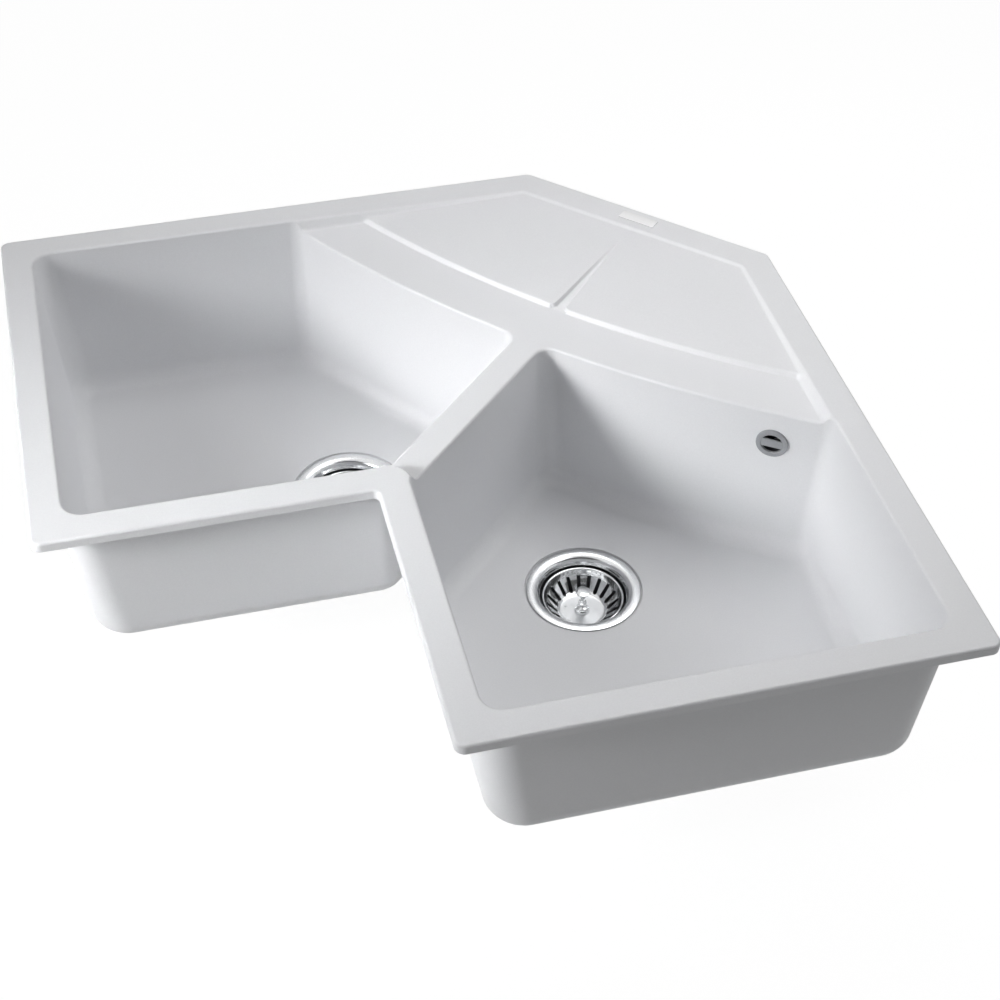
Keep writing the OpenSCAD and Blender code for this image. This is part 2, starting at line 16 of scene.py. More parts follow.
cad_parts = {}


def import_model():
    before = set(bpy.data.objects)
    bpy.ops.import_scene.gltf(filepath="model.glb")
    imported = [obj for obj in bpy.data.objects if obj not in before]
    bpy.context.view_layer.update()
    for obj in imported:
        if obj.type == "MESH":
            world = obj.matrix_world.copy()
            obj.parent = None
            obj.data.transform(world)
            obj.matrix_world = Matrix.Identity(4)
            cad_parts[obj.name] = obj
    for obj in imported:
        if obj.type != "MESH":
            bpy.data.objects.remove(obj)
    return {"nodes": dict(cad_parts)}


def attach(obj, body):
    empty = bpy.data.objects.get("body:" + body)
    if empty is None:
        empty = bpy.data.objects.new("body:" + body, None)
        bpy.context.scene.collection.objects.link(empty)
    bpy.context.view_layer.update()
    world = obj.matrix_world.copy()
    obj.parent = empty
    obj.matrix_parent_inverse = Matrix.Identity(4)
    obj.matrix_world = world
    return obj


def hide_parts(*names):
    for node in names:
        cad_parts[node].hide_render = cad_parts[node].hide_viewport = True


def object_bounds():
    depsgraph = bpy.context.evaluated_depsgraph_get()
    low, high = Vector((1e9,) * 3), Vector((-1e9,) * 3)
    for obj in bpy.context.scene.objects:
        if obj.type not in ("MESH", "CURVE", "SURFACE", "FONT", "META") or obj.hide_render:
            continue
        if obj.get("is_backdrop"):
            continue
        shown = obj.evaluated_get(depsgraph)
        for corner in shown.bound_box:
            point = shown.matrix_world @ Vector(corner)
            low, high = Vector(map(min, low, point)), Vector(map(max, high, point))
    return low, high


LOG = logging.getLogger("corner_sink")
MM = 0.001
ROOT2 = math.sqrt(2.0)
FULL_TURN = 2.0 * math.pi
QUARTER_TURN = math.pi / 2
WELD = 0.00001
TINY = 1e-12
FACES_UP = 0.9
FACES_ASIDE = 0.5
ORIGIN = (0.0, 0.0, 0.0)
NO_POINTS = np.empty((0, 2))
UPSIDE_DOWN = Matrix.Rotation(math.pi, 4, "X")
LAID = Matrix.Rotation(QUARTER_TURN, 4, "Y")

Place = tuple[float, float, float]
Profile = Sequence[tuple[float, float]]
Height = Callable[[np.ndarray], np.ndarray]
Choice = Callable[[bpy.types.MeshPolygon], bool]
Pieces = dict[str, bpy.types.Object]


class Hand(Enum):
    """The two arms of the sink."""

    LEFT = "left"
    RIGHT = "right"


class Rule(Enum):
    """How one side of an outline runs."""

    STRAIGHT = 0
    ROUND = 1


class Body(Enum):
    """The rigid bodies of the frame."""

    SINK = "sink"
    LEFT_STRAINER = "left_strainer"
    RIGHT_STRAINER = "right_strainer"


@dataclass(frozen=True)
class Side:
    """One side of an outline: an inward normal and an offset, or a centre and a radius."""

    x: float
    y: float
    size: float
    rule: Rule = Rule.STRAIGHT

    def moved(self, distance: float) -> "Side":
        """Return the side moved into the outline by a distance."""
        return Side(self.x, self.y, self.size + distance, self.rule)

    def touch(self, centre: np.ndarray, radius: float) -> np.ndarray:
        """Return where a corner circle touches the side.

        Args:
            centre: Centre of the corner circle.
            radius: Signed radius of the corner circle.

        Returns:
            The point of contact.
        """
        own = np.array([self.x, self.y])
        if self.rule is Rule.STRAIGHT:
            return centre - radius * own
        return own + (centre - own) * (self.size / (self.size + radius))


@dataclass(frozen=True)
class SinkSizes:
    """Driving sizes of the sink body, in millimetres."""

    square: float = 830.0
    arm: float = 500.0
    back_cut: float = 219.0
    corner: float = 10.0
    notch: float = 6.0
    rim_t: float = 11.0
    edge: float = 3.0
    edge_foot: float = 0.8
    rim_w: float = 33.0
    recess_corner: float = 12.0
    recess_outer: float = 32.0
    recess_notch: float = 22.0
    slope_run: float = 5.4
    slope_gain: float = 0.3
    slope_from: float = 2.0
    drainer_arc: float = 1265.0
    drainer_mid: float = 233.0
    drainer_low: float = 4.5
    drainer_high: float = 9.0
    drainer_back: float = 391.0
    step_run: float = 4.4
    step_shift: float = 1.5
    step_end: float = 8.0
    groove_half: float = 6.0
    groove_mouth: float = 229.0
    groove_tip: float = 377.0
    groove_side: float = 2.6
    groove_flare: float = 4.0
    depth: float = 190.0
    floor_t: float = 10.0
    wall: float = 9.0
    divider: float = 32.0
    bowl_arc: float = 1410.0
    bowl_arc_mid: float = 170.0
    bowl_corner: float = 21.0
    bowl_band_corner: float = 16.0
    corner_grow: float = 9.0
    floor_round: float = 20.0
    lip: float = 2.6
    outer_lip: float = 3.0
    lean_end: float = 17.0
    lean_outer: float = 7.0
    lean_arc: float = 3.0
    lean_divider: float = 10.0
    lean_notch: float = 20.0
    band_under: float = 9.0
    drainer_under: float = 4.5
    under_overlap: float = 1.0
    under_run: float = 3.0
    seal_in: float = 6.0
    seal_w: float = 8.0
    seal_t: float = 2.0
    seat_in: float = 20.0
    drain: tuple[float, float] = (129.0, -81.5)
    seat_r: float = 62.0
    seat_deep: float = 2.4
    drain_r: float = 50.0
    tap_d: float = 35.0
    tap_deep: float = 5.0
    tap_forward: float = 1.0
    overflow_u: float = 275.0
    overflow_deep: float = 50.0
    overflow_hole: float = 13.6

    @property
    def half(self) -> float:
        """Half of the square that the sink fits in."""
        return self.square / 2

    @property
    def inner(self) -> float:
        """Where the notch edges run, from the middle of the square."""
        return self.half - self.arm

    @property
    def back(self) -> float:
        """Distance of the slanting back edge from the middle."""
        return (self.square - self.back_cut) / ROOT2

    @property
    def floor_z(self) -> float:
        """Height of the bowl floors."""
        return self.rim_t - self.depth

    @property
    def shift(self) -> float:
        """Step from the middle of the square to the frame's origin."""
        return -self.inner - self.seat_in


SIZES = SinkSizes()


def smooth(x: np.ndarray) -> np.ndarray:
    """Return an S-shaped step from 0 to 1 over the unit range."""
    x = np.clip(x, 0.0, 1.0)
    return x * x * (3.0 - 2.0 * x)


def quarter(distance: np.ndarray, radius: float) -> np.ndarray:
    """Return how far a quarter round stands off a wall at a distance along it."""
    rest = 1.0 - np.clip(distance, 0.0, radius) / radius
    return radius * (1.0 - np.sqrt(1.0 - rest * rest))


def to_plan(u: float | np.ndarray, v: float | np.ndarray) -> tuple[float | np.ndarray, float | np.ndarray]:
    """Return plan X and Y from the place across and along the diagonal."""
    return (u + v) / ROOT2, (v - u) / ROOT2


def from_plan(plan: np.ndarray) -> tuple[np.ndarray, np.ndarray]:
    """Return the place of plan points across and along the diagonal."""
    x, y = plan.T
    return (x - y) / ROOT2, (x + y) / ROOT2


def lifted(plan: np.ndarray, z: float | np.ndarray) -> np.ndarray:
    """Return plan points with one height for all or one for each."""
    return np.column_stack([plan, np.broadcast_to(z, len(plan))])


def level_at(z: float) -> Height:
    """Return the height of a level face."""
    return lambda plan: np.full(len(plan), z)


def spread(half: float, pitch: float) -> np.ndarray:
    """Return even steps over a width, from minus to plus its half."""
    return np.arange(-half, half + 0.1, pitch)


def arc(centre: Sequence[float], radius: float, angles: np.ndarray) -> np.ndarray:
    """Return the points of a circle at these angles, one row per point."""
    return np.array(centre) + radius * np.stack([np.cos(angles), np.sin(angles)], axis=1)


def meet(a: Side, b: Side) -> np.ndarray:
    """Return the corner where two sides of an outline meet.

    Args:
        a: The side before the corner.
        b: The side after the corner.

    Returns:
        The meeting point.
    """
    if a.rule is Rule.STRAIGHT and b.rule is Rule.STRAIGHT:
        k = a.x * b.y - a.y * b.x
        return np.array([(a.size * b.y - b.size * a.y) / k, (b.size * a.x - a.size * b.x) / k])
    line, bend, way = (a, b, 1.0) if a.rule is Rule.STRAIGHT else (b, a, -1.0)
    normal = np.array([line.x, line.y])
    along = np.array([-line.y, line.x])
    centre = np.array([bend.x, bend.y])
    foot = centre + (line.size - normal @ centre) * normal
    reach = math.sqrt(bend.size**2 - float((foot - centre) @ (foot - centre)))
    return foot + way * reach * along


def corner_points(a: Side, b: Side, radius: float, steps: int) -> np.ndarray:
    """Return the points of a rounded corner between two sides.

    Args:
        a: The side before the corner.
        b: The side after the corner.
        radius: Corner radius, negative for an inward corner.
        steps: Number of steps round the corner.

    Returns:
        One row per point.
    """
    centre = meet(a.moved(radius), b.moved(radius))
    start = a.touch(centre, radius) - centre
    end = b.touch(centre, radius) - centre
    first = math.atan2(start[1], start[0])
    turn = math.remainder(math.atan2(end[1], end[0]) - first, FULL_TURN)
    return arc(centre, abs(radius), first + turn * np.arange(steps + 1) / steps)


def outline(sides: Sequence[Side], radii: Sequence[float], corner_steps: int, side_steps: int,
            even_share: float = 0.45) -> np.ndarray:
    """Return a closed outline with rounded corners and divided sides.

    Args:
        sides: The sides in order.
        radii: The corner radius after each side.
        corner_steps: Steps round each corner.
        side_steps: Steps along each side.
        even_share: How evenly a side is divided, 1 for all even and 0 for much finer at its ends.

    Returns:
        One row per point of the outline.
    """
    count = len(sides)
    corners = [corner_points(sides[i], sides[(i + 1) % count], radii[i], corner_steps) for i in range(count)]
    even = np.arange(1, side_steps) / side_steps
    share = even_share * even + (1.0 - even_share) / 2 * (1.0 - np.cos(math.pi * even))
    rows = []
    for i, side in enumerate(sides):
        start, end = corners[i - 1][-1], corners[i][0]
        if side.rule is Rule.STRAIGHT:
            rows.append(start + share[:, None] * (end - start))
        else:
            centre = np.array([side.x, side.y])
            first = math.atan2(*(start - centre)[::-1])
            turn = math.remainder(math.atan2(*(end - centre)[::-1]) - first, FULL_TURN)
            rows.append(arc(centre, side.size, first + turn * share))
        rows.append(corners[i])
    return np.concatenate(rows)


def inside_distance(points: np.ndarray, loop: np.ndarray, batch: int = 2000) -> np.ndarray:
    """Return how far each point lies inside a closed loop, negative outside.

    Args:
        points: One row per point.
        loop: The loop's corners in order.
        batch: Number of points that are worked out at a time.

    Returns:
        One distance per point.
    """
    result = np.empty(len(points))
    start, end = loop, np.roll(loop, -1, axis=0)
    span = end - start
    length2 = (span**2).sum(axis=1)
    rise = np.where(np.abs(span[:, 1]) < TINY, TINY, span[:, 1])
    for low in range(0, len(points), batch):
        part = points[low:low + batch, None, :]
        t = np.clip(((part - start) * span).sum(axis=2) / length2, 0.0, 1.0)
        gap = part - (start + t[..., None] * span)
        near = np.sqrt((gap**2).sum(axis=2)).min(axis=1)
        above = (start[:, 1] > part[..., 1]) != (end[:, 1] > part[..., 1])
        cross = start[:, 0] + (part[..., 1] - start[:, 1]) * span[:, 0] / rise
        odd = (above & (part[..., 0] < cross)).sum(axis=1) % 2
        result[low:low + batch] = np.where(odd == 1, near, -near)
    return result


def within(points: np.ndarray, loops: Sequence[np.ndarray], inside: float = 0.0,
           outside: float = 0.0) -> np.ndarray:
    """Return which points lie inside the first loop and outside the others.

    Args:
        points: One row per point.
        loops: The outer loop, and the loops of the holes.
        inside: Least distance from the outer loop.
        outside: Least distance from a hole.

    Returns:
        One truth value per point.
    """
    clear = inside_distance(points, loops[0]) > inside
    for hole in loops[1:]:
        clear &= inside_distance(points, hole) < -outside
    return clear


def thinned(points: np.ndarray, pitch: float) -> np.ndarray:
    """Return the points with near doubles taken out.

    Args:
        points: One row per point.
        pitch: Side of the cells that hold one point each.

    Returns:
        The points that are left.
    """
    cells = np.round(points / pitch).astype(np.int64)
    _, first = np.unique(cells, axis=0, return_index=True)
    return points[np.sort(first)]


def metres(place: Sequence[float]) -> tuple[float, ...]:
    """Return a place in metres from one in millimetres."""
    return tuple(c * MM for c in place)


def shifted(x: float, y: float, z: float) -> Matrix:
    """Return the matrix of a step in millimetres."""
    return Matrix.Translation(Vector((x, y, z)) * MM)


def linked(name: str, data: bpy.types.ID) -> bpy.types.Object:
    """Put data into the scene.

    Args:
        name: Name of the new object.
        data: The mesh, lamp or camera that it shows.

    Returns:
        The new object.
    """
    thing = bpy.data.objects.new(name, data)
    bpy.context.collection.objects.link(thing)
    return thing


def only(*things: bpy.types.Object) -> None:
    """Select some objects alone and make the first one active.

    Args:
        things: The objects to select.
    """
    if bpy.context.mode != "OBJECT":
        bpy.ops.object.mode_set(mode="OBJECT")
    bpy.ops.object.select_all(action="DESELECT")
    for thing in things:
        thing.select_set(True)
    bpy.context.view_layer.objects.active = things[0]


def tidy_mesh(thing: bpy.types.Object) -> bpy.types.Object:
    """Merge doubles, remove loose edges and turn all faces outwards.

    Args:
        thing: The object whose mesh is tidied.

    Returns:
        The same object.
    """
    only(thing)
    bpy.ops.object.mode_set(mode="EDIT")
    bpy.ops.mesh.select_all(action="SELECT")
    bpy.ops.mesh.remove_doubles(threshold=WELD)
    bpy.ops.mesh.dissolve_degenerate(threshold=WELD / 10)
    bpy.ops.mesh.delete_loose(use_verts=True, use_edges=True, use_faces=False)
    bpy.ops.mesh.select_all(action="SELECT")
    bpy.ops.mesh.normals_make_consistent(inside=False)
    bpy.ops.object.mode_set(mode="OBJECT")
    return thing


def smooth_shading(thing: bpy.types.Object, degrees: float) -> None:
    """Shade smooth, with edges sharper than an angle left sharp."""
    only(thing)
    bpy.ops.object.shade_smooth_by_angle(angle=math.radians(degrees))


def applied(thing: bpy.types.Object) -> bpy.types.Object:
    """Put an object's place into its mesh and return the object."""
    only(thing)
    bpy.ops.object.transform_apply(location=True, rotation=True, scale=True)
    return thing


def placed(thing: bpy.types.Object, where: Matrix) -> bpy.types.Object:
    """Move an object's mesh by a matrix and return the object."""
    thing.data.transform(where)
    return thing


def joined(name: str, things: Sequence[bpy.types.Object]) -> bpy.types.Object:
    """Join objects into the first and give it a name.

    Args:
        name: Name of the joined object.
        things: The objects to join.

    Returns:
        The joined object.
    """
    only(*things)
    bpy.ops.object.join()
    things[0].name = name
    return things[0]


def modified(thing: bpy.types.Object, kind: str, **settings: object) -> bpy.types.Object:
    """Add a modifier and apply it.

    Args:
        thing: The object that is changed.
        kind: Kind of the modifier.
        settings: The modifier's settings by name.

    Returns:
        The same object.
    """
    only(thing)
    modifier = thing.modifiers.new(kind.lower(), kind)
    for name, value in settings.items():
        setattr(modifier, name, value)
    bpy.ops.object.modifier_apply(modifier=modifier.name)
    return thing


def combined(thing: bpy.types.Object, others: Sequence[bpy.types.Object], operation: str) -> bpy.types.Object:
    """Combine a closed solid with others and remove those.

    Args:
        thing: The solid that stays.
        others: The solids that are added or taken away.
        operation: The boolean operation.

    Returns:
        The solid that stays.
    """
    for other in others:
        modified(thing, "BOOLEAN", operation=operation, solver="MANIFOLD", object=other)
        bpy.data.objects.remove(other)
    return thing


def cut(thing: bpy.types.Object, *cutters: bpy.types.Object) -> bpy.types.Object:
    """Cut closed solids out of another and return it."""
    return combined(thing, cutters, "DIFFERENCE")


def united(thing: bpy.types.Object, *others: bpy.types.Object) -> bpy.types.Object:
    """Unite closed solids into the first and return it."""
    return combined(thing, others, "UNION")


def bevelled(thing: bpy.types.Object, width: float, steps: int = 3, sharp: float = 30.0) -> bpy.types.Object:
    """Round the edges of an object with an applied bevel.

    Args:
        thing: The object.
        width: Width of the bevel in millimetres.
        steps: Steps across the bevel.
        sharp: Edges over this angle in degrees are rounded.

    Returns:
        The same object.
    """
    return modified(thing, "BEVEL", width=width * MM, segments=steps, limit_method="ANGLE",
                    angle_limit=math.radians(sharp))


def slab(name: str, size: Place, where: Matrix, soft: float = 0.0) -> bpy.types.Object:
    """Make a box.

    Args:
        name: Name of the object.
        size: Length of each side in millimetres.
        where: Place of the middle of the box.
        soft: Rounding of the edges, or zero for sharp ones.

    Returns:
        The new object.
    """
    bpy.ops.mesh.primitive_cube_add(size=MM)
    thing = bpy.context.object
    thing.name = name
    thing.scale = size
    applied(thing)
    if soft > 0.0:
        bevelled(thing, soft)
    return placed(thing, where)


def rod(radius: float, length: float, at: Place, sides: int) -> bpy.types.Object:
    """Make a plain upright cylinder.

    Args:
        radius: Radius in millimetres.
        length: Length in millimetres.
        at: The middle of the cylinder, in millimetres.
        sides: Number of its sides.

    Returns:
        The new object.
    """
    bpy.ops.mesh.primitive_cylinder_add(vertices=sides, radius=radius * MM, depth=length * MM,
                                        location=metres(at))
    return applied(bpy.context.object)


def spun(name: str, profile: Profile, at: Place, steps: int, closed: bool = True) -> bpy.types.Object:
    """Spin a profile of radius and height about an upright axis.

    Args:
        name: Name of the object.
        profile: Radius and height of each profile point, in millimetres.
        at: The axis foot, in millimetres.
        steps: Steps round the axis.
        closed: Whether the last point joins the first.

    Returns:
        The new object.
    """
    mesh = bpy.data.meshes.new(name)
    points = [metres((at[0] + r, at[1], at[2] + z)) for r, z in profile]
    last = len(points) if closed else len(points) - 1
    mesh.from_pydata(points, [(i, (i + 1) % len(points)) for i in range(last)], [])
    thing = linked(name, mesh)
    only(thing)
    bpy.ops.object.mode_set(mode="EDIT")
    bpy.ops.mesh.select_all(action="SELECT")
    bpy.ops.mesh.spin(steps=steps, angle=FULL_TURN, center=metres(at), axis=(0, 0, 1))
    return tidy_mesh(thing)


def softened(profile: Profile, rounds: Sequence[float], steps: int = 5, most: float = 0.49) -> Profile:
    """Round the corners of a profile.

    Args:
        profile: Radius and height of each corner.
        rounds: Rounding at each corner, zero for a sharp one.
        steps: Steps in each rounding.
        most: Share of an edge that one rounding may take.

    Returns:
        The rounded profile.
    """
    out: list[tuple[float, float]] = []
    count = len(profile)
    for i, size in enumerate(rounds):
        here = np.array(profile[i])
        if size <= 0.0:
            out.append(tuple(here))
            continue
        before = np.array(profile[i - 1]) - here
        after = np.array(profile[(i + 1) % count]) - here
        a = here + before * min(most, size / np.linalg.norm(before))
        b = here + after * min(most, size / np.linalg.norm(after))
        for k in range(steps + 1):
            t = k / steps
            out.append(tuple((1 - t) ** 2 * a + 2 * t * (1 - t) * here + t**2 * b))
    return out


def ring(name: str, outer: float, inner: float, low: float, high: float, at: Place = ORIGIN,
         steps: int = 64, soft: float = 0.0) -> bpy.types.Object:
    """Spin a plain ring with softened edges.

    Args:
        name: Name of the object.
        outer: Outer radius.
        inner: Inner radius, or zero for a solid drum.
        low: Height of the lower face above the axis foot.
        high: Height of the upper face above the axis foot.
        at: The axis foot, in millimetres.
        steps: Steps round the axis.
        soft: Rounding of the edges.

    Returns:
        The new object.
    """
    inner_soft = soft if inner > 0.0 else 0.0
    profile = softened([(inner, low), (outer, low), (outer, high), (inner, high)],
                       [inner_soft, soft, soft, inner_soft], 3)
    return spun(name, profile, at, steps, inner > 0.0)


def drum(name: str, radius: float, low: float, high: float, at: Place = ORIGIN, steps: int = 64,
         soft: float = 0.0) -> bpy.types.Object:
    """Spin a solid drum with softened edges.

    Args:
        name: Name of the object.
        radius: Radius of the drum.
        low: Height of the lower face above the axis foot.
        high: Height of the upper face above the axis foot.
        at: The axis foot, in millimetres.
        steps: Steps round the axis.
        soft: Rounding of the edges.

    Returns:
        The new object.
    """
    return ring(name, radius, 0.0, low, high, at, steps, soft)


@dataclass
class Shell:
    """A closed mesh that is put together from rings and sheets."""

    verts: list[np.ndarray] = field(default_factory=list)
    faces: list[tuple[int, ...]] = field(default_factory=list)
    count: int = 0
    least_height: float = 0.001
    snap: float = 0.0005

    def add_points(self, points: np.ndarray) -> int:
        """Add points without faces.

        Args:
            points: Points with height, one row per point.

        Returns:
            The number of the first one.
        """
        first = self.count
        self.verts.append(points)
        self.count += len(points)
        return first

    def add_rings(self, rings: Sequence[np.ndarray]) -> None:
        """Add a wall of quads through rings of equal length.

        Args:
            rings: Rings of points with height, in order.
        """
        size = len(rings[0])
        first = self.add_points(np.concatenate(rings))
        for k in range(len(rings) - 1):
            low = first + k * size
            for i in range(size):
                j = (i + 1) % size
                self.faces.append((low + i, low + j, low + size + j, low + size + i))

    def add_sheet(self, loops: Sequence[np.ndarray], height: Height, extra: np.ndarray = NO_POINTS) -> None:
        """Add a sheet of triangles inside one loop and outside others, without slivers.

        Args:
            loops: The outer loop and the loops of the holes, in plan.
            height: Gives the height of plan points.
            extra: Points inside the sheet, in plan.
        """
        points = np.concatenate([*loops, extra])
        edges, first = [], 0
        for loop in loops:
            edges += [(first + i, first + (i + 1) % len(loop)) for i in range(len(loop))]
            first += len(loop)
        found = delaunay_2d_cdt([Vector(p) for p in points.tolist()], edges, [], 0, self.snap, False)
        plan = np.array([(p.x, p.y) for p in found[0]])
        faces = np.array([tuple(f) for f in found[2] if len(f) == 3])
        a, b, c = (plan[faces[:, k]] for k in range(3))
        (bx, by), (cx, cy) = (b - a).T, (c - a).T
        doubled = np.abs(bx * cy - by * cx)
        longest = np.max([np.hypot(*(q - p).T) for p, q in ((a, b), (b, c), (c, a))], axis=0)
        kept = within(plan[faces].mean(axis=1), loops) & (doubled > self.least_height * longest)
        start = self.add_points(lifted(plan, height(plan)))
        self.faces += [tuple(int(i) + start for i in f) for f in faces[kept]]

    def make(self, name: str) -> bpy.types.Object:
        """Turn the shell into an object with clean, outward faces, in the frame's place.

        Args:
            name: Name of the object.

        Returns:
            The new object.
        """
        points = np.concatenate(self.verts) + np.array([SIZES.shift, SIZES.shift, 0.0])
        mesh = bpy.data.meshes.new(name)
        mesh.from_pydata((points * MM).tolist(), [], self.faces)
        return tidy_mesh(linked(name, mesh))


def filled(node: bpy.types.Node, values: dict[str, object]) -> bpy.types.Node:
    """Set the values of a node's inputs.

    Args:
        node: The node.
        values: The value of each input by its name.

    Returns:
        The same node.
    """
    for name, value in values.items():
        node.inputs[name].default_value = value
    return node


def worked_out(tree: bpy.types.NodeTree, operation: str,
               *given: bpy.types.NodeSocket | float) -> bpy.types.NodeSocket:
    """Add a Math node.

    Args:
        tree: The tree that gets the node.
        operation: What the node works out.
        given: Sockets or numbers for its inputs, in order.

    Returns:
        The socket with the result.
    """
    node = tree.nodes.new("ShaderNodeMath")
    node.operation = operation
    for socket, source in zip(node.inputs, given):
        if isinstance(source, bpy.types.NodeSocket):
            tree.links.new(source, socket)
        else:
            socket.default_value = source
    return node.outputs["Value"]


@dataclass(frozen=True)
class Grain:
    """A fine grain: cells per metre, change of colour and of roughness, and height in millimetres."""

    scale: float
    tint: float
    spread: float = 0.0
    bump: float = 0.0


@dataclass(frozen=True)
class Finish:
    """A finish with a fine grain."""

    name: str
    color: tuple[float, float, float]
    roughness: float
    grain: Grain
    metallic: float = 0.0

    def material(self) -> bpy.types.Material:
        """Make the material at its first use.

        Returns:
            The material.
        """
        known = bpy.data.materials.get(self.name)
        if known:
            return known
        made = bpy.data.materials.new(self.name)
        made.use_nodes = True
        full_color = (*self.color, 1.0)
        made.diffuse_color = full_color
        nodes, links = made.node_tree.nodes, made.node_tree.links
        shader = filled(nodes["Principled BSDF"], {
            "Base Color": full_color, "Roughness": self.roughness, "Metallic": self.metallic})
        place = nodes.new("ShaderNodeTexCoord")
        grain = nodes.new("ShaderNodeGroup")
        grain.node_tree = grain_group()
        filled(grain, {"Scale": self.grain.scale, "Tint": self.grain.tint, "Color": full_color,
                       "Roughness": self.roughness, "Spread": self.grain.spread})
        links.new(place.outputs["Object"], grain.inputs["Place"])
        links.new(grain.outputs["Color"], shader.inputs["Base Color"])
        links.new(grain.outputs["Roughness"], shader.inputs["Roughness"])
        if self.grain.bump:
            bump = filled(nodes.new("ShaderNodeBump"), {"Distance": self.grain.bump * MM})
            links.new(grain.outputs["Height"], bump.inputs["Height"])
            links.new(bump.outputs["Normal"], shader.inputs["Normal"])
        return made

    def dress(self, thing: bpy.types.Object, chosen: Choice | None = None) -> None:
        """Give the finish to an object, or to its chosen faces alone.

        Args:
            thing: The object.
            chosen: Says whether a face gets the finish, or nothing for all faces.
        """
        slots = thing.data.materials
        if chosen is None:
            slots.clear()
        slots.append(self.material())
        for face in thing.data.polygons if chosen else ():
            if chosen(face):
                face.material_index = len(slots) - 1

    def coat(self, thing: bpy.types.Object, degrees: float = 35.0) -> bpy.types.Object:
        """Shade an object smooth and give it the finish.

        Args:
            thing: The object.
            degrees: Edges over this angle stay sharp.

        Returns:
            The same object.
        """
        smooth_shading(thing, degrees)
        self.dress(thing)
        return thing


def grain_group() -> bpy.types.NodeTree:
    """Make the node group of a fine cast grain at its first use.

    Returns:
        The node group.
    """
    name = "fine grain"
    known = bpy.data.node_groups.get(name)
    if known:
        return known
    tree = bpy.data.node_groups.new(name, "ShaderNodeTree")
    floats = [("INPUT", socket, "Float") for socket in ("Scale", "Tint", "Roughness", "Spread")]
    floats += [("OUTPUT", socket, "Float") for socket in ("Height", "Roughness")]
    for way, socket, kind in [("INPUT", "Place", "Vector"), ("INPUT", "Color", "Color"),
                              ("OUTPUT", "Color", "Color"), *floats]:
        tree.interface.new_socket(name=socket, in_out=way, socket_type=f"NodeSocket{kind}")
    nodes, links = tree.nodes, tree.links
    start, end = nodes.new("NodeGroupInput"), nodes.new("NodeGroupOutput")
    noise = filled(nodes.new("ShaderNodeTexNoise"), {"Detail": 2.0, "Roughness": 0.6})
    level = filled(nodes.new("ShaderNodeMapRange"), {
        "From Min": 0.3, "From Max": 0.7, "To Min": -1.0, "To Max": 1.0})
    links.new(start.outputs["Place"], noise.inputs["Vector"])
    links.new(start.outputs["Scale"], noise.inputs["Scale"])
    links.new(noise.outputs["Fac"], level.inputs["Value"])
    grain = level.outputs["Result"]
    share = worked_out(tree, "MULTIPLY_ADD", grain, start.outputs["Tint"], 1.0)
    rough = worked_out(tree, "MULTIPLY_ADD", grain, start.outputs["Spread"], start.outputs["Roughness"])
    scaled = nodes.new("ShaderNodeVectorMath")
    scaled.operation = "SCALE"
    links.new(start.outputs["Color"], scaled.inputs["Vector"])
    links.new(share, scaled.inputs["Scale"])
    links.new(scaled.outputs["Vector"], end.inputs["Color"])
    links.new(noise.outputs["Fac"], end.inputs["Height"])
    links.new(rough, end.inputs["Roughness"])
    return tree


COMPOSITE = Finish("white composite", (0.80, 0.805, 0.82), 0.46, Grain(620.0, 0.02, 0.04, 0.05))
STEEL = Finish("polished steel", (0.70, 0.71, 0.72), 0.11, Grain(25.0, 0.01, 0.015), 1.0)
BRUSHED_STEEL = Finish("brushed steel", (0.74, 0.75, 0.76), 0.23, Grain(25.0, 0.01, 0.02), 1.0)
SATIN_STEEL = Finish("satin steel", (0.68, 0.69, 0.70), 0.30, Grain(60.0, 0.015, 0.03), 1.0)
# Dark steel for the deep cup under the basket: painted shade, not a dull finish.
CUP_SHADE_STEEL = Finish("steel with painted cup shade", (0.10, 0.10, 0.105), 0.5, Grain(60.0, 0.02, 0.04), 1.0)
RUBBER = Finish("black rubber", (0.012, 0.012, 0.013), 0.6, Grain(300.0, 0.15, 0.08, 0.03))
FOAM = Finish("grey foam", (0.06, 0.06, 0.065), 0.9, Grain(900.0, 0.2, 0.0, 0.1))
BLACK = Finish("black plastic", (0.02, 0.02, 0.022), 0.42, Grain(500.0, 0.05, 0.06, 0.02))
WHITE_PIPE = Finish("white pipe", (0.78, 0.78, 0.79), 0.35, Grain(200.0, 0.01, 0.05, 0.01))
MATT_GREY = Finish("matt grey", (0.33, 0.34, 0.355), 0.42, Grain(500.0, 0.03, 0.04, 0.01))
PLATE = Finish("white plate", (0.97, 0.97, 0.975), 0.15, Grain(500.0, 0.01, 0.03, 0.004))
# Grey for the plate's sides: painted shade along its edges.
PLATE_EDGE_SHADE = Finish("plate edge painted shade", (0.45, 0.45, 0.46), 0.5, Grain(500.0, 0.05, 0.03))


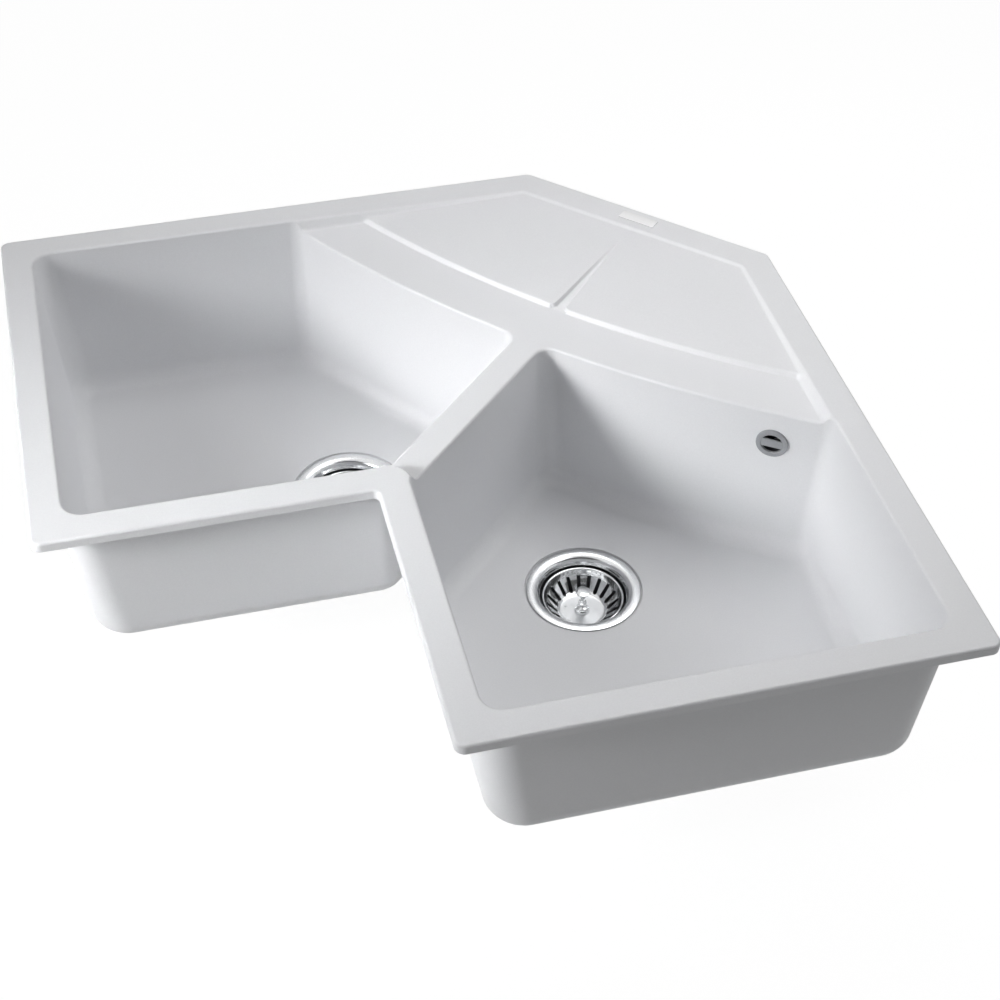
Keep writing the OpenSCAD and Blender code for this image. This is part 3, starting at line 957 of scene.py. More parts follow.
@dataclass
class SinkBody:
    """The cast sink: rim, recess, drainer, bowls and underside.

    Its sizes are in SIZES. The fields here say how finely the mesh is divided: steps are numbers, and
    reaches, pitches and gaps are in millimetres.
    """

    corner_steps: int = 14
    side_steps: int = 36
    lip_steps: int = 6
    floor_steps: int = 14
    wall_shares: tuple[float, ...] = (0.12, 0.35, 0.6, 0.82)
    recess_steps: int = 90
    recess_reach: float = 9.0
    under_steps: int = 40
    relief_half: float = 282.0
    relief_pitch: float = 5.0
    groove_reach: float = 16.0
    groove_pitch: float = 1.5
    groove_rows: float = 3.0
    mouth_reach: float = 14.0
    mouth_before: float = 4.0
    mouth_after: float = 12.0
    mouth_pitch: float = 1.0
    patch_pitch: float = 1.1
    step_patch: Place = (274.0, 263.0, 18.0)
    lip_patch: Place = (325.0, 214.0, 24.0)
    notch_patch: float = 43.0
    under_half: float = 330.0
    under_pitch: float = 8.0
    least_pitch: float = 0.55
    under_least_pitch: float = 0.5
    least_gap: float = 0.6
    lip_gap: float = 2.2
    lip_row: float = 1.4
    sharp: float = 42.0
    drill_l: float = 40.0

    def rim_ring(self, inset: float, outer: float, back: float, notch: float, steps: int = 0) -> np.ndarray:
        """Return the sink's outline moved in by a distance.

        Args:
            inset: Distance from the edge.
            outer: Radius at the arm corners.
            back: Radius at the two back corners.
            notch: Radius at the notch.
            steps: Steps along each side, or zero for the usual number.

        Returns:
            The outline.
        """
        s = SIZES
        across = 1 / ROOT2
        sides = [Side(-1, 0, -s.half + inset), Side(-across, -across, -s.back + inset),
                 Side(0, -1, -s.half + inset), Side(1, 0, -s.half + inset), Side(0, 1, s.inner + inset),
                 Side(1, 0, s.inner + inset), Side(0, 1, -s.half + inset)]
        return outline(sides, [back, back, outer, outer, -notch, outer, outer], self.corner_steps,
                       steps or self.side_steps)

    def edge_ring(self, inset: float) -> np.ndarray:
        """Return the outline of the rim's edge moved in by a distance."""
        corner = SIZES.corner - min(inset, SIZES.corner - 1)
        return self.rim_ring(inset, corner, corner, SIZES.notch + inset)

    def recess_ring(self, inset: float, steps: int = 0) -> np.ndarray:
        """Return the outline of the recess moved in by a distance."""
        s = SIZES
        return self.rim_ring(s.rim_w + inset, s.recess_outer, s.recess_corner, s.recess_notch + inset, steps)

    def under_ring(self, inset: float, steps: int = 0) -> np.ndarray:
        """Return the outline of the thick part of the underside moved in by a distance."""
        s = SIZES
        return self.rim_ring(s.rim_w - s.under_overlap + inset, s.recess_outer, s.recess_corner,
                             s.recess_notch, steps)

    @cached_property
    def recess_line(self) -> np.ndarray:
        """The outline where the recess begins."""
        return self.recess_ring(0.0)

    @cached_property
    def under_line(self) -> np.ndarray:
        """The outline where the underside begins to go down."""
        return self.under_ring(0.0)

    def bowl_ring(self, share: float, grow: float, inset: float) -> np.ndarray:
        """Return the outline of the right bowl.

        Args:
            share: Share of the bowl's depth.
            grow: Wall thickness to add, or zero for the inner face.
            inset: Distance to move the outline in.

        Returns:
            The outline.
        """
        s = SIZES
        across = 1 / ROOT2
        middle = (s.bowl_arc_mid + s.bowl_arc) * across
        d = inset - grow
        sides = [
            Side(0, 1, -s.half + s.rim_w + s.lean_end * share + d),
            Side(-1, 0, -s.half + s.rim_w + s.lean_outer * share + d),
            Side(middle, middle, s.bowl_arc + s.lean_arc * share + d, Rule.ROUND),
            Side(across, -across, s.divider / 2 + s.lean_divider * share + d),
            Side(1, 0, s.inner + s.rim_w + s.lean_notch * share + d)]
        wide = s.bowl_corner + s.corner_grow * share - d
        narrow = s.bowl_band_corner + s.corner_grow * share - d
        return outline(sides, [wide, narrow, narrow, narrow, wide], self.corner_steps, self.side_steps)

    def groove_share(self, v: np.ndarray) -> np.ndarray:
        """Return how far points along the diagonal lie from the groove's mouth to its tip, 0 to 1."""
        return np.clip((v - SIZES.groove_mouth) / (SIZES.groove_tip - SIZES.groove_mouth), 0.0, 1.0)

    def drainer(self, plan: np.ndarray, recess: np.ndarray) -> np.ndarray:
        """Return the height of the recess floor, drainer and groove.

        Args:
            plan: Points in plan.
            recess: How far each point lies inside the recess.

        Returns:
            One height per point.
        """
        s = SIZES
        u, v = from_plan(plan)
        slope = (s.drainer_high - s.drainer_low) / (s.drainer_back - s.drainer_mid)
        high = s.drainer_low + slope * (v - s.drainer_mid)
        edge = s.drainer_arc - np.hypot(u, v - s.drainer_mid - s.drainer_arc)
        edge = edge + quarter(recess - s.slope_run / 2, s.step_end)
        along = self.groove_share(v)
        half = s.groove_half * (1.0 - along) + quarter(edge, s.groove_flare)
        tip = s.drainer_low + slope * (s.groove_tip - s.drainer_mid)
        inside = smooth((half - np.abs(u)) / s.groove_side + 0.5)
        high = high - np.maximum(high - tip * along, 0.0) * inside
        return high * smooth((edge + s.step_shift) / s.step_run + 0.5)

    def top(self, plan: np.ndarray) -> np.ndarray:
        """Return the height of the upper face without the bowls.

        Args:
            plan: Points in plan.

        Returns:
            One height per point.
        """
        s = SIZES
        recess = inside_distance(plan, self.recess_line)
        drop = s.rim_t - self.drainer(plan, recess)
        run = s.slope_run + s.slope_gain * (drop - s.slope_from)
        return s.rim_t - drop * smooth(recess / run)

    def under(self, plan: np.ndarray) -> np.ndarray:
        """Return the height of the underside without the bowls.

        Args:
            plan: Points in plan.

        Returns:
            One height per point.
        """
        s = SIZES
        inside = smooth(inside_distance(plan, self.under_line) / s.under_run)
        _, v = from_plan(plan)
        band = smooth((s.drainer_mid + s.wall - v) / s.under_run + 0.5)
        return -inside * (s.drainer_under + (s.band_under - s.drainer_under) * band)

    def bowl_walls(self, shell: Shell, hand: Hand, grow: float, height: Height, lip: float,
                   low: float) -> tuple[np.ndarray, np.ndarray]:
        """Add the walls of one bowl, from its lip to its floor.

        Args:
            shell: The shell to add to.
            hand: The bowl's arm.
            grow: Wall thickness for the outer face, or zero.
            height: Gives the height of the face that the wall starts from.
            lip: Rounding between that face and the wall.
            low: Height of the floor.

        Returns:
            The lip's loop and the floor's loop, in plan.
        """
        s = SIZES
        base, end = self.bowl_ring(0.0, grow, 0.0), self.bowl_ring(1.0, grow, 0.0)
        out = self.bowl_ring(0.0, grow, -1.0) - base
        order = slice(None, None, -1 if hand is Hand.LEFT else 1)
        start = (base + lip * out)[:, order]
        top_z = height(start)

        def at(z: np.ndarray, away: float) -> np.ndarray:
            """Return the wall's ring at given heights, moved out by a distance."""
            share = (s.rim_t - z) / s.depth
            plan = base + share[:, None] * (end - base) + away * out
            return lifted(plan[:, order], z)

        rings = [lifted(start, top_z)]
        for angle in QUARTER_TURN * np.arange(1, self.lip_steps + 1) / self.lip_steps:
            rings.append(at(top_z - lip * (1 - math.cos(angle)), lip * (1 - math.sin(angle))))
        fillet = s.floor_round + grow
        foot = low + fillet
        rings += [at((top_z - lip) * (1 - t) + foot * t, 0.0) for t in self.wall_shares]
        for angle in QUARTER_TURN * np.arange(self.floor_steps + 1) / self.floor_steps:
            z = low + fillet * (1 - math.sin(angle))
            plan = self.bowl_ring((s.rim_t - z) / s.depth, grow, fillet * (1 - math.cos(angle)))
            rings.append(lifted(plan[:, order], z))
        shell.add_rings(rings)
        return start, rings[-1][:, :2]

    def beyond(self, loop: np.ndarray) -> np.ndarray:
        """Return a row of points just outside a loop.

        Args:
            loop: The loop in plan.

        Returns:
            One point for each point of the loop.
        """
        along = np.roll(loop, -1, axis=0) - np.roll(loop, 1, axis=0)
        side = np.column_stack([along[:, 1], -along[:, 0]]) / np.linalg.norm(along, axis=1)[:, None]
        out = loop + self.lip_row * side
        return out if inside_distance(out, loop).mean() < 0 else loop - self.lip_row * side

    def circle(self, at: tuple[float, float], radius: float, steps: int = 96) -> np.ndarray:
        """Return a circle in plan."""
        return arc(at, radius, FULL_TURN * np.arange(steps) / steps)

    def relief_points(self) -> np.ndarray:
        """Return the plan points that the relief of the upper face needs.

        Returns:
            The points, close together where the face bends.
        """
        s = SIZES
        rows = [self.recess_ring(d, self.recess_steps) for d in np.linspace(0.0, self.recess_reach, 13)]
        u = np.unique(np.concatenate([spread(self.relief_half, self.relief_pitch),
                                      spread(self.groove_reach, self.groove_pitch)]))
        reach = s.step_run / 2 + 0.5
        for inset in np.linspace(-reach - s.step_shift, reach - s.step_shift, 11):
            v = s.drainer_mid + s.drainer_arc - np.sqrt((s.drainer_arc - inset)**2 - u**2)
            rows.append(np.column_stack(to_plan(u, v)))
        flank = s.groove_side * np.linspace(-0.55, 0.55, 6)
        for v in np.arange(s.groove_mouth - 2 * self.groove_rows, s.groove_tip + self.groove_rows,
                           self.groove_rows):
            half = s.groove_half * (1 - self.groove_share(v))
            rows.append(np.column_stack(to_plan(np.concatenate([half + flank, -half - flank, [0.0]]), v)))
        patches = [(*to_plan(way * across, along), reach)
                   for across, along, reach in (self.step_patch, self.lip_patch) for way in (1, -1)]
        patches.append((s.inner + self.notch_patch, s.inner + self.notch_patch, self.lip_patch[2]))
        for x, y, reach in patches:
            line = spread(reach, self.patch_pitch)
            gx, gy = np.meshgrid(x + line, y + line)
            rows.append(np.column_stack([gx.ravel(), gy.ravel()]))
        past = np.arange(-self.mouth_before, self.mouth_after + 0.1, self.mouth_pitch)
        gu, gv = np.meshgrid(spread(self.mouth_reach, self.mouth_pitch), s.groove_mouth + past)
        rows.append(np.column_stack(to_plan(gu.ravel(), gv.ravel())))
        return thinned(np.concatenate(rows), self.least_pitch)

    def build(self) -> Pieces:
        """Build and dress the sink body.

        Returns:
            The finished object by the node that it replaces.
        """
        s = SIZES
        shell = Shell()
        inner, outer = [], []
        for hand in (Hand.RIGHT, Hand.LEFT):
            inner.append(self.bowl_walls(shell, hand, 0.0, self.top, s.lip, s.floor_z))
            outer.append(self.bowl_walls(shell, hand, s.wall, self.under, s.outer_lip, s.floor_z - s.floor_t))
        lips, feet = zip(*inner)
        outer_lips, outer_feet = zip(*outer)
        top_loops = [self.edge_ring(s.edge), *lips]
        extra = self.relief_points()
        extra = extra[within(extra, top_loops, self.least_gap, self.lip_gap)]
        shell.add_sheet(top_loops, self.top, np.concatenate([extra, *map(self.beyond, lips)]))
        self.rim_edge(shell)
        self.underside(shell, outer_lips)
        for at, foot, outer_foot in zip((s.drain, s.drain[::-1]), feet, outer_feet):
            self.drain(shell, at, foot, outer_foot)
        body = shell.make("sink_cast")
        cut(body, placed(rod(s.overflow_hole, self.drill_l, ORIGIN, 48), OverflowSet().place() @ LAID))
        COMPOSITE.coat(body, self.sharp)
        return {"sink_body": modified(body, "WEIGHTED_NORMAL", mode="FACE_AREA_WITH_ANGLE", keep_sharp=True)}

    def rim_edge(self, shell: Shell) -> None:
        """Add the rounded edge of the rim and the groove of the seal.

        Args:
            shell: The shell to add to.
        """
        s = SIZES
        path = [(s.edge * (1 - math.sin(a)), s.rim_t - s.edge * (1 - math.cos(a)))
                for a in np.linspace(0, QUARTER_TURN, 8)]
        path += [(s.edge_foot * (1 - math.cos(a)), s.edge_foot * (1 - math.sin(a)))
                 for a in np.linspace(0, QUARTER_TURN, 4)]
        path += [(s.seal_in, 0.0), (s.seal_in, s.seal_t), (s.seal_in + s.seal_w, s.seal_t),
                 (s.seal_in + s.seal_w, 0.0)]
        shell.add_rings([lifted(self.edge_ring(inset), z) for inset, z in path])

    def underside(self, shell: Shell, lips: Sequence[np.ndarray]) -> None:
        """Add the underside of the rim, band and drainer with the blind tap hole.

        Args:
            shell: The shell to add to.
            lips: The loops where the outer bowl walls start.
        """
        s = SIZES
        middle = to_plan(0.0, (s.bowl_arc_mid + s.drainer_mid) / 2 - s.tap_forward)
        hole = self.circle(middle, s.tap_d / 2, 64)
        loops = [self.edge_ring(s.seal_in + s.seal_w), *lips, hole]
        rows = [self.under_ring(d, self.under_steps) for d in np.linspace(0.0, s.under_run, 5)]
        across = spread(self.under_half, self.under_pitch)
        for v in s.drainer_mid + s.wall + np.linspace(-s.under_run / 2, s.under_run / 2, 5):
            rows.append(np.column_stack(to_plan(across, v)))
        extra = thinned(np.concatenate(rows), self.under_least_pitch)
        shell.add_sheet(loops, self.under, extra[within(extra, loops, self.least_gap, self.least_gap)])
        top = -s.band_under + s.tap_deep
        shell.add_rings([lifted(hole, self.under(hole)), lifted(hole, top)])
        shell.add_sheet([hole], level_at(top))

    def drain(self, shell: Shell, at: tuple[float, float], foot: np.ndarray, outer_foot: np.ndarray) -> None:
        """Add one bowl's floor, the seat of its flange and the hole through it.

        Args:
            shell: The shell to add to.
            at: Centre of the drain.
            foot: Loop of the inner floor.
            outer_foot: Loop of the outer floor.
        """
        s = SIZES
        low = s.floor_z - s.floor_t
        path = [(s.seat_r + 1.0, s.floor_z), (s.seat_r + 0.3, s.floor_z - 0.25), (s.seat_r, s.floor_z - 1.0),
                (s.seat_r, s.floor_z - s.seat_deep), (s.drain_r, s.floor_z - s.seat_deep), (s.drain_r, low)]
        rings = [lifted(self.circle(at, radius), z) for radius, z in path]
        shell.add_rings(rings)
        shell.add_sheet([foot, rings[0][:, :2]], level_at(s.floor_z))
        shell.add_sheet([outer_foot, rings[-1][:, :2]], level_at(low))


@dataclass
class WasteSet:
    """The waste of one bowl: flange with cup, seals, lower body and screw."""

    hand: Hand
    flange_r: float = 60.5
    face_r: float = 55.5
    roll_r: float = 52.4
    turn_r: float = 49.5
    cup_r: float = 45.4
    cup_low: float = 34.0
    cup_deep: float = 42.1
    sheet: float = 1.2
    polished_below: float = 2.2
    shade_below: float = 16.0
    holes: int = 6
    hole_at: float = 20.0
    hole_r: float = 7.0
    drill_l: float = 8.0
    seal_outer: float = 59.5
    seal_inner: float = 51.5
    gasket_inner: float = 49.0
    body_r: float = 51.0
    body_top: float = -12.5
    body_deep: float = 71.0
    wall: float = 3.0
    collar_r: float = 58.0
    collar_t: float = 4.0
    funnel: float = 8.0
    outlet_r: float = 23.9
    outlet_bore: float = 20.0
    outlet_l: float = 22.0
    thread_turns: int = 8
    thread_pitch: float = 2.4
    thread_start: float = 1.4
    thread_deep: float = 0.9
    rib_h: float = 8.0
    rib_z: float = -49.1
    boss_r: float = 6.0
    boss_low: float = -53.9
    boss_high: float = -44.3
    spur_start: float = 48.5
    screw_r: float = 3.0
    screw_head_r: float = 7.0
    screw_top: float = -39.5
    slot_w: float = 1.2
    slot_deep: float = 1.3
    round_steps: int = 128

    def at(self) -> Place:
        """Return the drain's centre on the bowl floor."""
        x, y = SIZES.drain if self.hand is Hand.RIGHT else SIZES.drain[::-1]
        return x + SIZES.shift, y + SIZES.shift, SIZES.floor_z

    def flange(self) -> bpy.types.Object:
        """Build the pressed flange with its stepped cup.

        Returns:
            The flange, polished in the cup and dark at its foot, where dark steel is painted shade in the
            deep cup.
        """
        t, edge, face, roll, turn, cup, low, deep = (
            self.sheet, self.flange_r, self.face_r, self.roll_r, self.turn_r, self.cup_r, self.cup_low,
            self.cup_deep)
        # Radius and height along the upper face from the edge to the middle, and back along the lower face.
        upper = [(edge, -1.0), (edge - 0.4, -0.45), (edge - 1.9, -0.1), (face, 0.0), (roll, -0.3),
                 (turn + 0.4, -1.3), (turn - 1.4, -2.9), (cup + 1.5, -5.0), (cup + 0.6, -7.2), (cup, -8.8),
                 (cup, -15.5), (cup - 0.5, -18.5), (cup - 2.2, -21.0), (low + 4.0, -34.0), (low + 1.4, -39.5),
                 (low - 1.5, -deep + 0.4), (low - 5.0, -deep), (0.0, -deep)]
        lower = [(0.0, -deep - t), (low - 4.5, -deep - t), (low, -deep - 0.4), (low + 2.6, -39.5),
                 (low + 5.2, -34.0), (cup - 1.0, -21.4), (cup + 0.8, -18.5), (cup + t, -15.5),
                 (cup + t, -8.6), (cup + 1.9, -7.0), (cup + 2.2, -5.4), (turn - 0.6, -4.0),
                 (turn + 1.0, -2.6), (roll + 0.4, -1.9), (face + 0.5, -1.55), (edge - 0.4, -1.2)]
        rounds = [0.4] * 2 + [1.4] * 15 + [0.0] * 2 + [1.0] * 15
        x, y, z = self.at()
        thing = spun(f"{self.hand.value}_waste_flange", softened(upper + lower, rounds), (x, y, z),
                     self.round_steps)
        drills = []
        for i in range(self.holes):
            angle = FULL_TURN * i / self.holes
            middle = (x + self.hole_at * math.cos(angle), y + self.hole_at * math.sin(angle), z - deep)
            drills.append(rod(self.hole_r, self.drill_l, middle, 40))
        cut(thing, joined("drills", drills))
        BRUSHED_STEEL.coat(thing)
        STEEL.dress(thing, lambda face: face.center.z < (z - self.polished_below) * MM)
        # Below this depth the cup gets dark steel as painted shade.
        CUP_SHADE_STEEL.dress(thing, lambda face: face.center.z < (z - self.shade_below) * MM)
        return thing

    def lower_body(self) -> bpy.types.Object:
        """Build the plastic body below the floor, with its threaded outlet.

        Returns:
            The lower body, which has a spur for the overflow on the right.
        """
        foot, under = -self.body_deep - self.funnel, self.body_top - self.collar_t
        bore, root = self.body_r - self.wall, self.outlet_r - self.thread_deep
        profile = [(bore, self.body_top), (self.collar_r, self.body_top), (self.collar_r, under),
                   (self.body_r, under), (self.body_r, -self.body_deep), (root, foot)]
        rounds = [0.3, 0.6, 0.6, 0.5, 2.0, 0.5]
        for k in range(self.thread_turns):
            z = foot - self.thread_start - self.thread_pitch * k
            profile += [(root, z), (self.outlet_r, z - 0.7), (self.outlet_r, z - 1.0), (root, z - 1.7)]
            rounds += [0.0] * 4
        end = foot - self.outlet_l
        profile += [(root, end), (self.outlet_bore, end), (self.outlet_bore, foot + self.wall),
                    (bore, -self.body_deep + self.wall)]
        rounds += [0.4, 0.4, 1.0, 2.0]
        at = self.at()
        thing = spun(f"{self.hand.value}_lower_body", softened(profile, rounds, 3), at, 96)
        middle = shifted(*at)
        ribs = [slab("rib", (2 * self.body_r - self.wall, self.wall, self.rib_h),
                     middle @ Matrix.Rotation(math.radians(a), 4, "Z") @ shifted(0, 0, self.rib_z))
                for a in (45.0, 135.0)]
        united(thing, *ribs, drum("boss", self.boss_r, self.boss_low, self.boss_high, at, 40, 0.4))
        if self.hand is Hand.RIGHT:
            p = PIPE
            end = p.spur_end
            side = middle @ shifted(0, 0, -p.deep) @ Matrix.Rotation(p.turn(), 4, "Z") @ LAID
            united(thing, placed(drum("spur", p.socket_r, self.spur_start, end, soft=0.4), side))
            cut(thing, placed(drum("bore", p.bore_r, self.spur_start - self.wall, end + 1.0), side))
            cut(thing, placed(drum("socket", p.socket_bore, end - p.socket_deep, end + 1.0), side))
        cut(thing, drum("screw_hole", self.screw_r, -56.0, -42.0, at, 32))
        return BLACK.coat(thing)

    def screw(self) -> bpy.types.Object:
        """Build the clamping screw with the cross slot in its head.

        Returns:
            The screw.
        """
        x, y, z = self.at()
        under, top, chamfer = -self.cup_deep, self.screw_top, 0.6
        end = under - 11.0
        profile = [(0.0, end), (self.screw_r - chamfer, end), (self.screw_r, end + chamfer),
                   (self.screw_r, under), (self.screw_head_r, under), (self.screw_head_r, top - 1.7),
                   (self.screw_head_r - 0.8, top - 0.5), (4.0, top - 0.05), (0.0, top)]
        thing = spun(f"{self.hand.value}_clamp_screw", profile, (x, y, z), 48, False)
        for turn in (0.0, QUARTER_TURN):
            where = shifted(x, y, z + top - 0.1) @ Matrix.Rotation(turn, 4, "Z")
            cut(thing, slab("slot", (8.0, self.slot_w, 2 * (self.slot_deep - 0.1)), where))
        return STEEL.coat(thing)

    def build(self) -> Pieces:
        """Build the pieces.

        Returns:
            The pieces by the node that each replaces.
        """
        side, at = self.hand.value, self.at()
        seal = ring(f"{side}_flange_seal_ring", self.seal_outer, self.seal_inner, -SIZES.seat_deep,
                    -self.sheet, at, self.round_steps, 0.25)
        gasket = ring(f"{side}_floor_gasket", self.collar_r, self.gasket_inner, self.body_top,
                      -SIZES.floor_t, at, 96, 0.6)
        return {f"{side}_flange": self.flange(), f"{side}_flange_seal": RUBBER.coat(seal, 40.0),
                f"{side}_body_gasket": RUBBER.coat(gasket, 40.0), f"{side}_body": self.lower_body(),
                f"{side}_screw": self.screw()}


@dataclass
class Strainer:
    """The lift-out basket of one bowl with its pull post and plug."""

    hand: Hand
    rim_r: float = 43.2
    rim_deep: float = 11.0
    floor_deep: float = 33.0
    floor_r: float = 25.0
    wall_r: float = 38.5
    sheet: float = 0.8
    slots: int = 20
    slot_w: float = 4.4
    slot_in: float = 28.2
    slot_out: float = 36.5
    cap_r: float = 8.1
    ball_r: float = 4.7
    neck_r: float = 2.6
    ferrule_r: float = 8.1
    stem_r: float = 2.4
    plug_r: float = 27.0
    plug_top_r: float = 20.0
    plug_low: float = -39.2
    plug_t: float = 3.0
    round_steps: int = 120

    def at(self) -> Place:
        """Return the drain's centre on the bowl floor."""
        return WasteSet(self.hand).at()

    def basket(self) -> bpy.types.Object:
        """Build the pressed basket with its slots.

        Returns:
            The basket, satin on its floor.
        """
        t, top, low, rim, wall, floor = (
            self.sheet, -self.rim_deep, -self.floor_deep, self.rim_r, self.wall_r, self.floor_r)
        # Radius and height along the inner face from the rim to the middle, and back along the outer face.
        upper = [(rim, top - 0.8), (rim - 0.3, top - 0.15), (rim - 1.2, top), (rim - 2.2, top - 0.5),
                 (wall + 1.2, top - 4.0), (wall - 0.4, top - 7.4), (wall - 3.2, top - 11.0),
                 (floor + 2.4, low + 2.2), (floor - 0.6, low + 0.35), (floor - 3.0, low), (0.0, low)]
        lower = [(0.0, low - t), (floor - 2.4, low - t), (floor + 0.4, low - 0.3), (floor + 3.3, low + 1.6),
                 (wall - 2.3, top - 11.6), (wall + 0.5, top - 7.8), (wall + 2.0, top - 4.2),
                 (rim - 1.7, top - 1.6), (rim - 0.4, top - 1.6)]
        rounds = [0.3, 0.4, 0.6, 1.0] + [1.6] * 5 + [1.0] + [0.0] * 2 + [1.2] * 6 + [0.4, 0.3]
        x, y, z = self.at()
        thing = spun(f"{self.hand.value}_strainer_basket", softened(upper + lower, rounds, 4), (x, y, z),
                     self.round_steps)
        first = self.slot_cutter()
        middle = shifted(x, y, z)
        cutters = [placed(linked("slot", first.data.copy()),
                          middle @ Matrix.Rotation(FULL_TURN * (i + 0.5) / self.slots, 4, "Z"))
                   for i in range(self.slots)]
        bpy.data.objects.remove(first)
        cut(thing, joined("slots", cutters))
        STEEL.coat(thing)
        SATIN_STEEL.dress(thing, lambda face: face.normal.z > FACES_UP and math.hypot(
            face.center.x / MM - x, face.center.y / MM - y) < floor - 1.0)
        return thing

    def slot_cutter(self) -> bpy.types.Object:
        """Build the cutter of one round-ended slot along X.

        Returns:
            The cutter: a cylinder with its outer half moved out.
        """
        cutter = rod(self.slot_w / 2, self.floor_deep, (self.slot_in, 0, -self.rim_deep * 2), 16)
        bpy.ops.object.mode_set(mode="EDIT")
        bpy.ops.mesh.select_all(action="DESELECT")
        bpy.ops.object.mode_set(mode="OBJECT")
        for vertex in cutter.data.vertices:
            vertex.select = vertex.co.x > (self.slot_in + 0.01) * MM
        bpy.ops.object.mode_set(mode="EDIT")
        bpy.ops.transform.translate(value=((self.slot_out - self.slot_in) * MM, 0, 0))
        bpy.ops.object.mode_set(mode="OBJECT")
        return cutter

    def post(self) -> bpy.types.Object:
        """Build the pull post: ferrule, ball, neck and mushroom cap.

        Returns:
            The post.
        """
        low, stem, ferrule, ball, cap = -self.floor_deep, self.stem_r, self.ferrule_r, self.ball_r, self.cap_r
        profile = [(0.0, low - 5.9), (stem, low - 5.9), (stem, low), (ferrule, low), (ferrule, low + 2.4),
                   (ferrule - 0.6, low + 3.4), (ferrule - 2.2, low + 4.2), (ferrule - 2.6, low + 5.6),
                   (3.0, low + 6.6)]
        centre = low + 6.8 + ball
        for k in range(1, 12):
            angle = math.pi * (k / 12.0)
            profile.append((max(self.neck_r, ball * math.sin(angle)), centre - ball * math.cos(angle)))
        profile += [(stem, centre + ball + 1.0), (2.5, low + 18.6), (3.3, low + 20.4), (5.0, low + 23.2),
                    (7.2, low + 26.4), (cap - 0.1, low + 27.7), (cap, low + 28.2), (cap - 0.25, low + 28.7),
                    (cap - 1.0, low + 29.0), (cap - 3.6, low + 29.3), (0.0, low + 29.4)]
        thing = spun(f"{self.hand.value}_strainer_post", profile, self.at(), 64, False)
        return STEEL.coat(thing, 50.0)

    def plug(self) -> bpy.types.Object:
        """Build the rubber plug under the basket.

        Returns:
            The plug.
        """
        bore, low, edge = self.stem_r + 0.1, self.plug_low, self.plug_t / 2
        high, top = low + self.plug_t, -self.floor_deep - self.sheet
        profile = [(bore, low), (self.plug_r - edge, low), (self.plug_r, low + edge),
                   (self.plug_r - edge, high), (self.plug_top_r, high), (self.plug_top_r, top), (bore, top)]
        soft = softened(profile, [0.3, 0.8, 0.8, 0.8, 0.5, 0.3, 0.3], 4)
        return RUBBER.coat(spun(f"{self.hand.value}_plug_rubber", soft, self.at(), 96), 40.0)

    def build(self) -> Pieces:
        """Build the pieces and return them by the node that each replaces."""
        side = self.hand.value
        return {f"{side}_basket": self.basket(), f"{side}_basket_post": self.post(),
                f"{side}_basket_plug": self.plug()}


@dataclass
class OverflowSet:
    """The overflow ring with its bar in the right bowl's curved wall."""

    ring_r: float = 17.0
    bore_r: float = 11.4
    front: float = 2.6
    sleeve_r: float = 12.6
    sleeve_t: float = 1.6
    sleeve_l: float = 20.0
    bar: float = 9.6
    bar_t: float = 2.0
    bar_in: float = 1.9

    def place(self) -> Matrix:
        """Return the place of the overflow, with X out through the wall.

        Returns:
            The matrix of the place, in metres.
        """
        s = SIZES
        reach = s.bowl_arc + s.lean_arc * s.overflow_deep / s.depth
        middle = s.bowl_arc_mid + s.bowl_arc
        v = middle - math.sqrt(reach**2 - s.overflow_u**2)
        x, y = to_plan(s.overflow_u, v)
        out = to_plan(-s.overflow_u / reach, (middle - v) / reach)
        return shifted(x + s.shift, y + s.shift, s.rim_t - s.overflow_deep) @ Matrix.Rotation(
            math.atan2(out[1], out[0]), 4, "Z")

    def build(self) -> Pieces:
        """Build the ring with its bar, black inside the sleeve.

        Returns:
            The piece by the node that it replaces.
        """
        bore, edge, back, inside = self.bore_r, self.ring_r, -self.front - 0.5, self.sleeve_r - self.sleeve_t
        foot = -self.front - self.sleeve_l
        profile = [(bore, -0.6), (bore + 0.5, -0.05), (bore + 1.0, 0.0), (edge - 1.3, 0.0),
                   (edge - 0.4, -0.4), (edge, -1.3), (edge, back), (self.sleeve_r, back),
                   (self.sleeve_r, foot), (inside, foot), (inside, -self.front - 0.6), (bore, back)]
        collar = spun("overflow_collar", profile, ORIGIN, 96)
        bar = slab("bar", (self.bar, 2 * bore + 1.0, self.bar_t), shifted(0, 0, -self.bar_in), 0.35)
        thing = MATT_GREY.coat(joined("overflow_ring_bar", [collar, bar]))
        BLACK.dress(thing, lambda face: face.center.z < -(self.front + 0.2) * MM
                    and face.center.xy.length < (self.sleeve_r - 1.2) * MM)
        upright = Matrix.Rotation(-QUARTER_TURN, 4, "Y")
        return {"overflow_ring": placed(thing, self.place() @ shifted(-self.front, 0, 0) @ upright)}


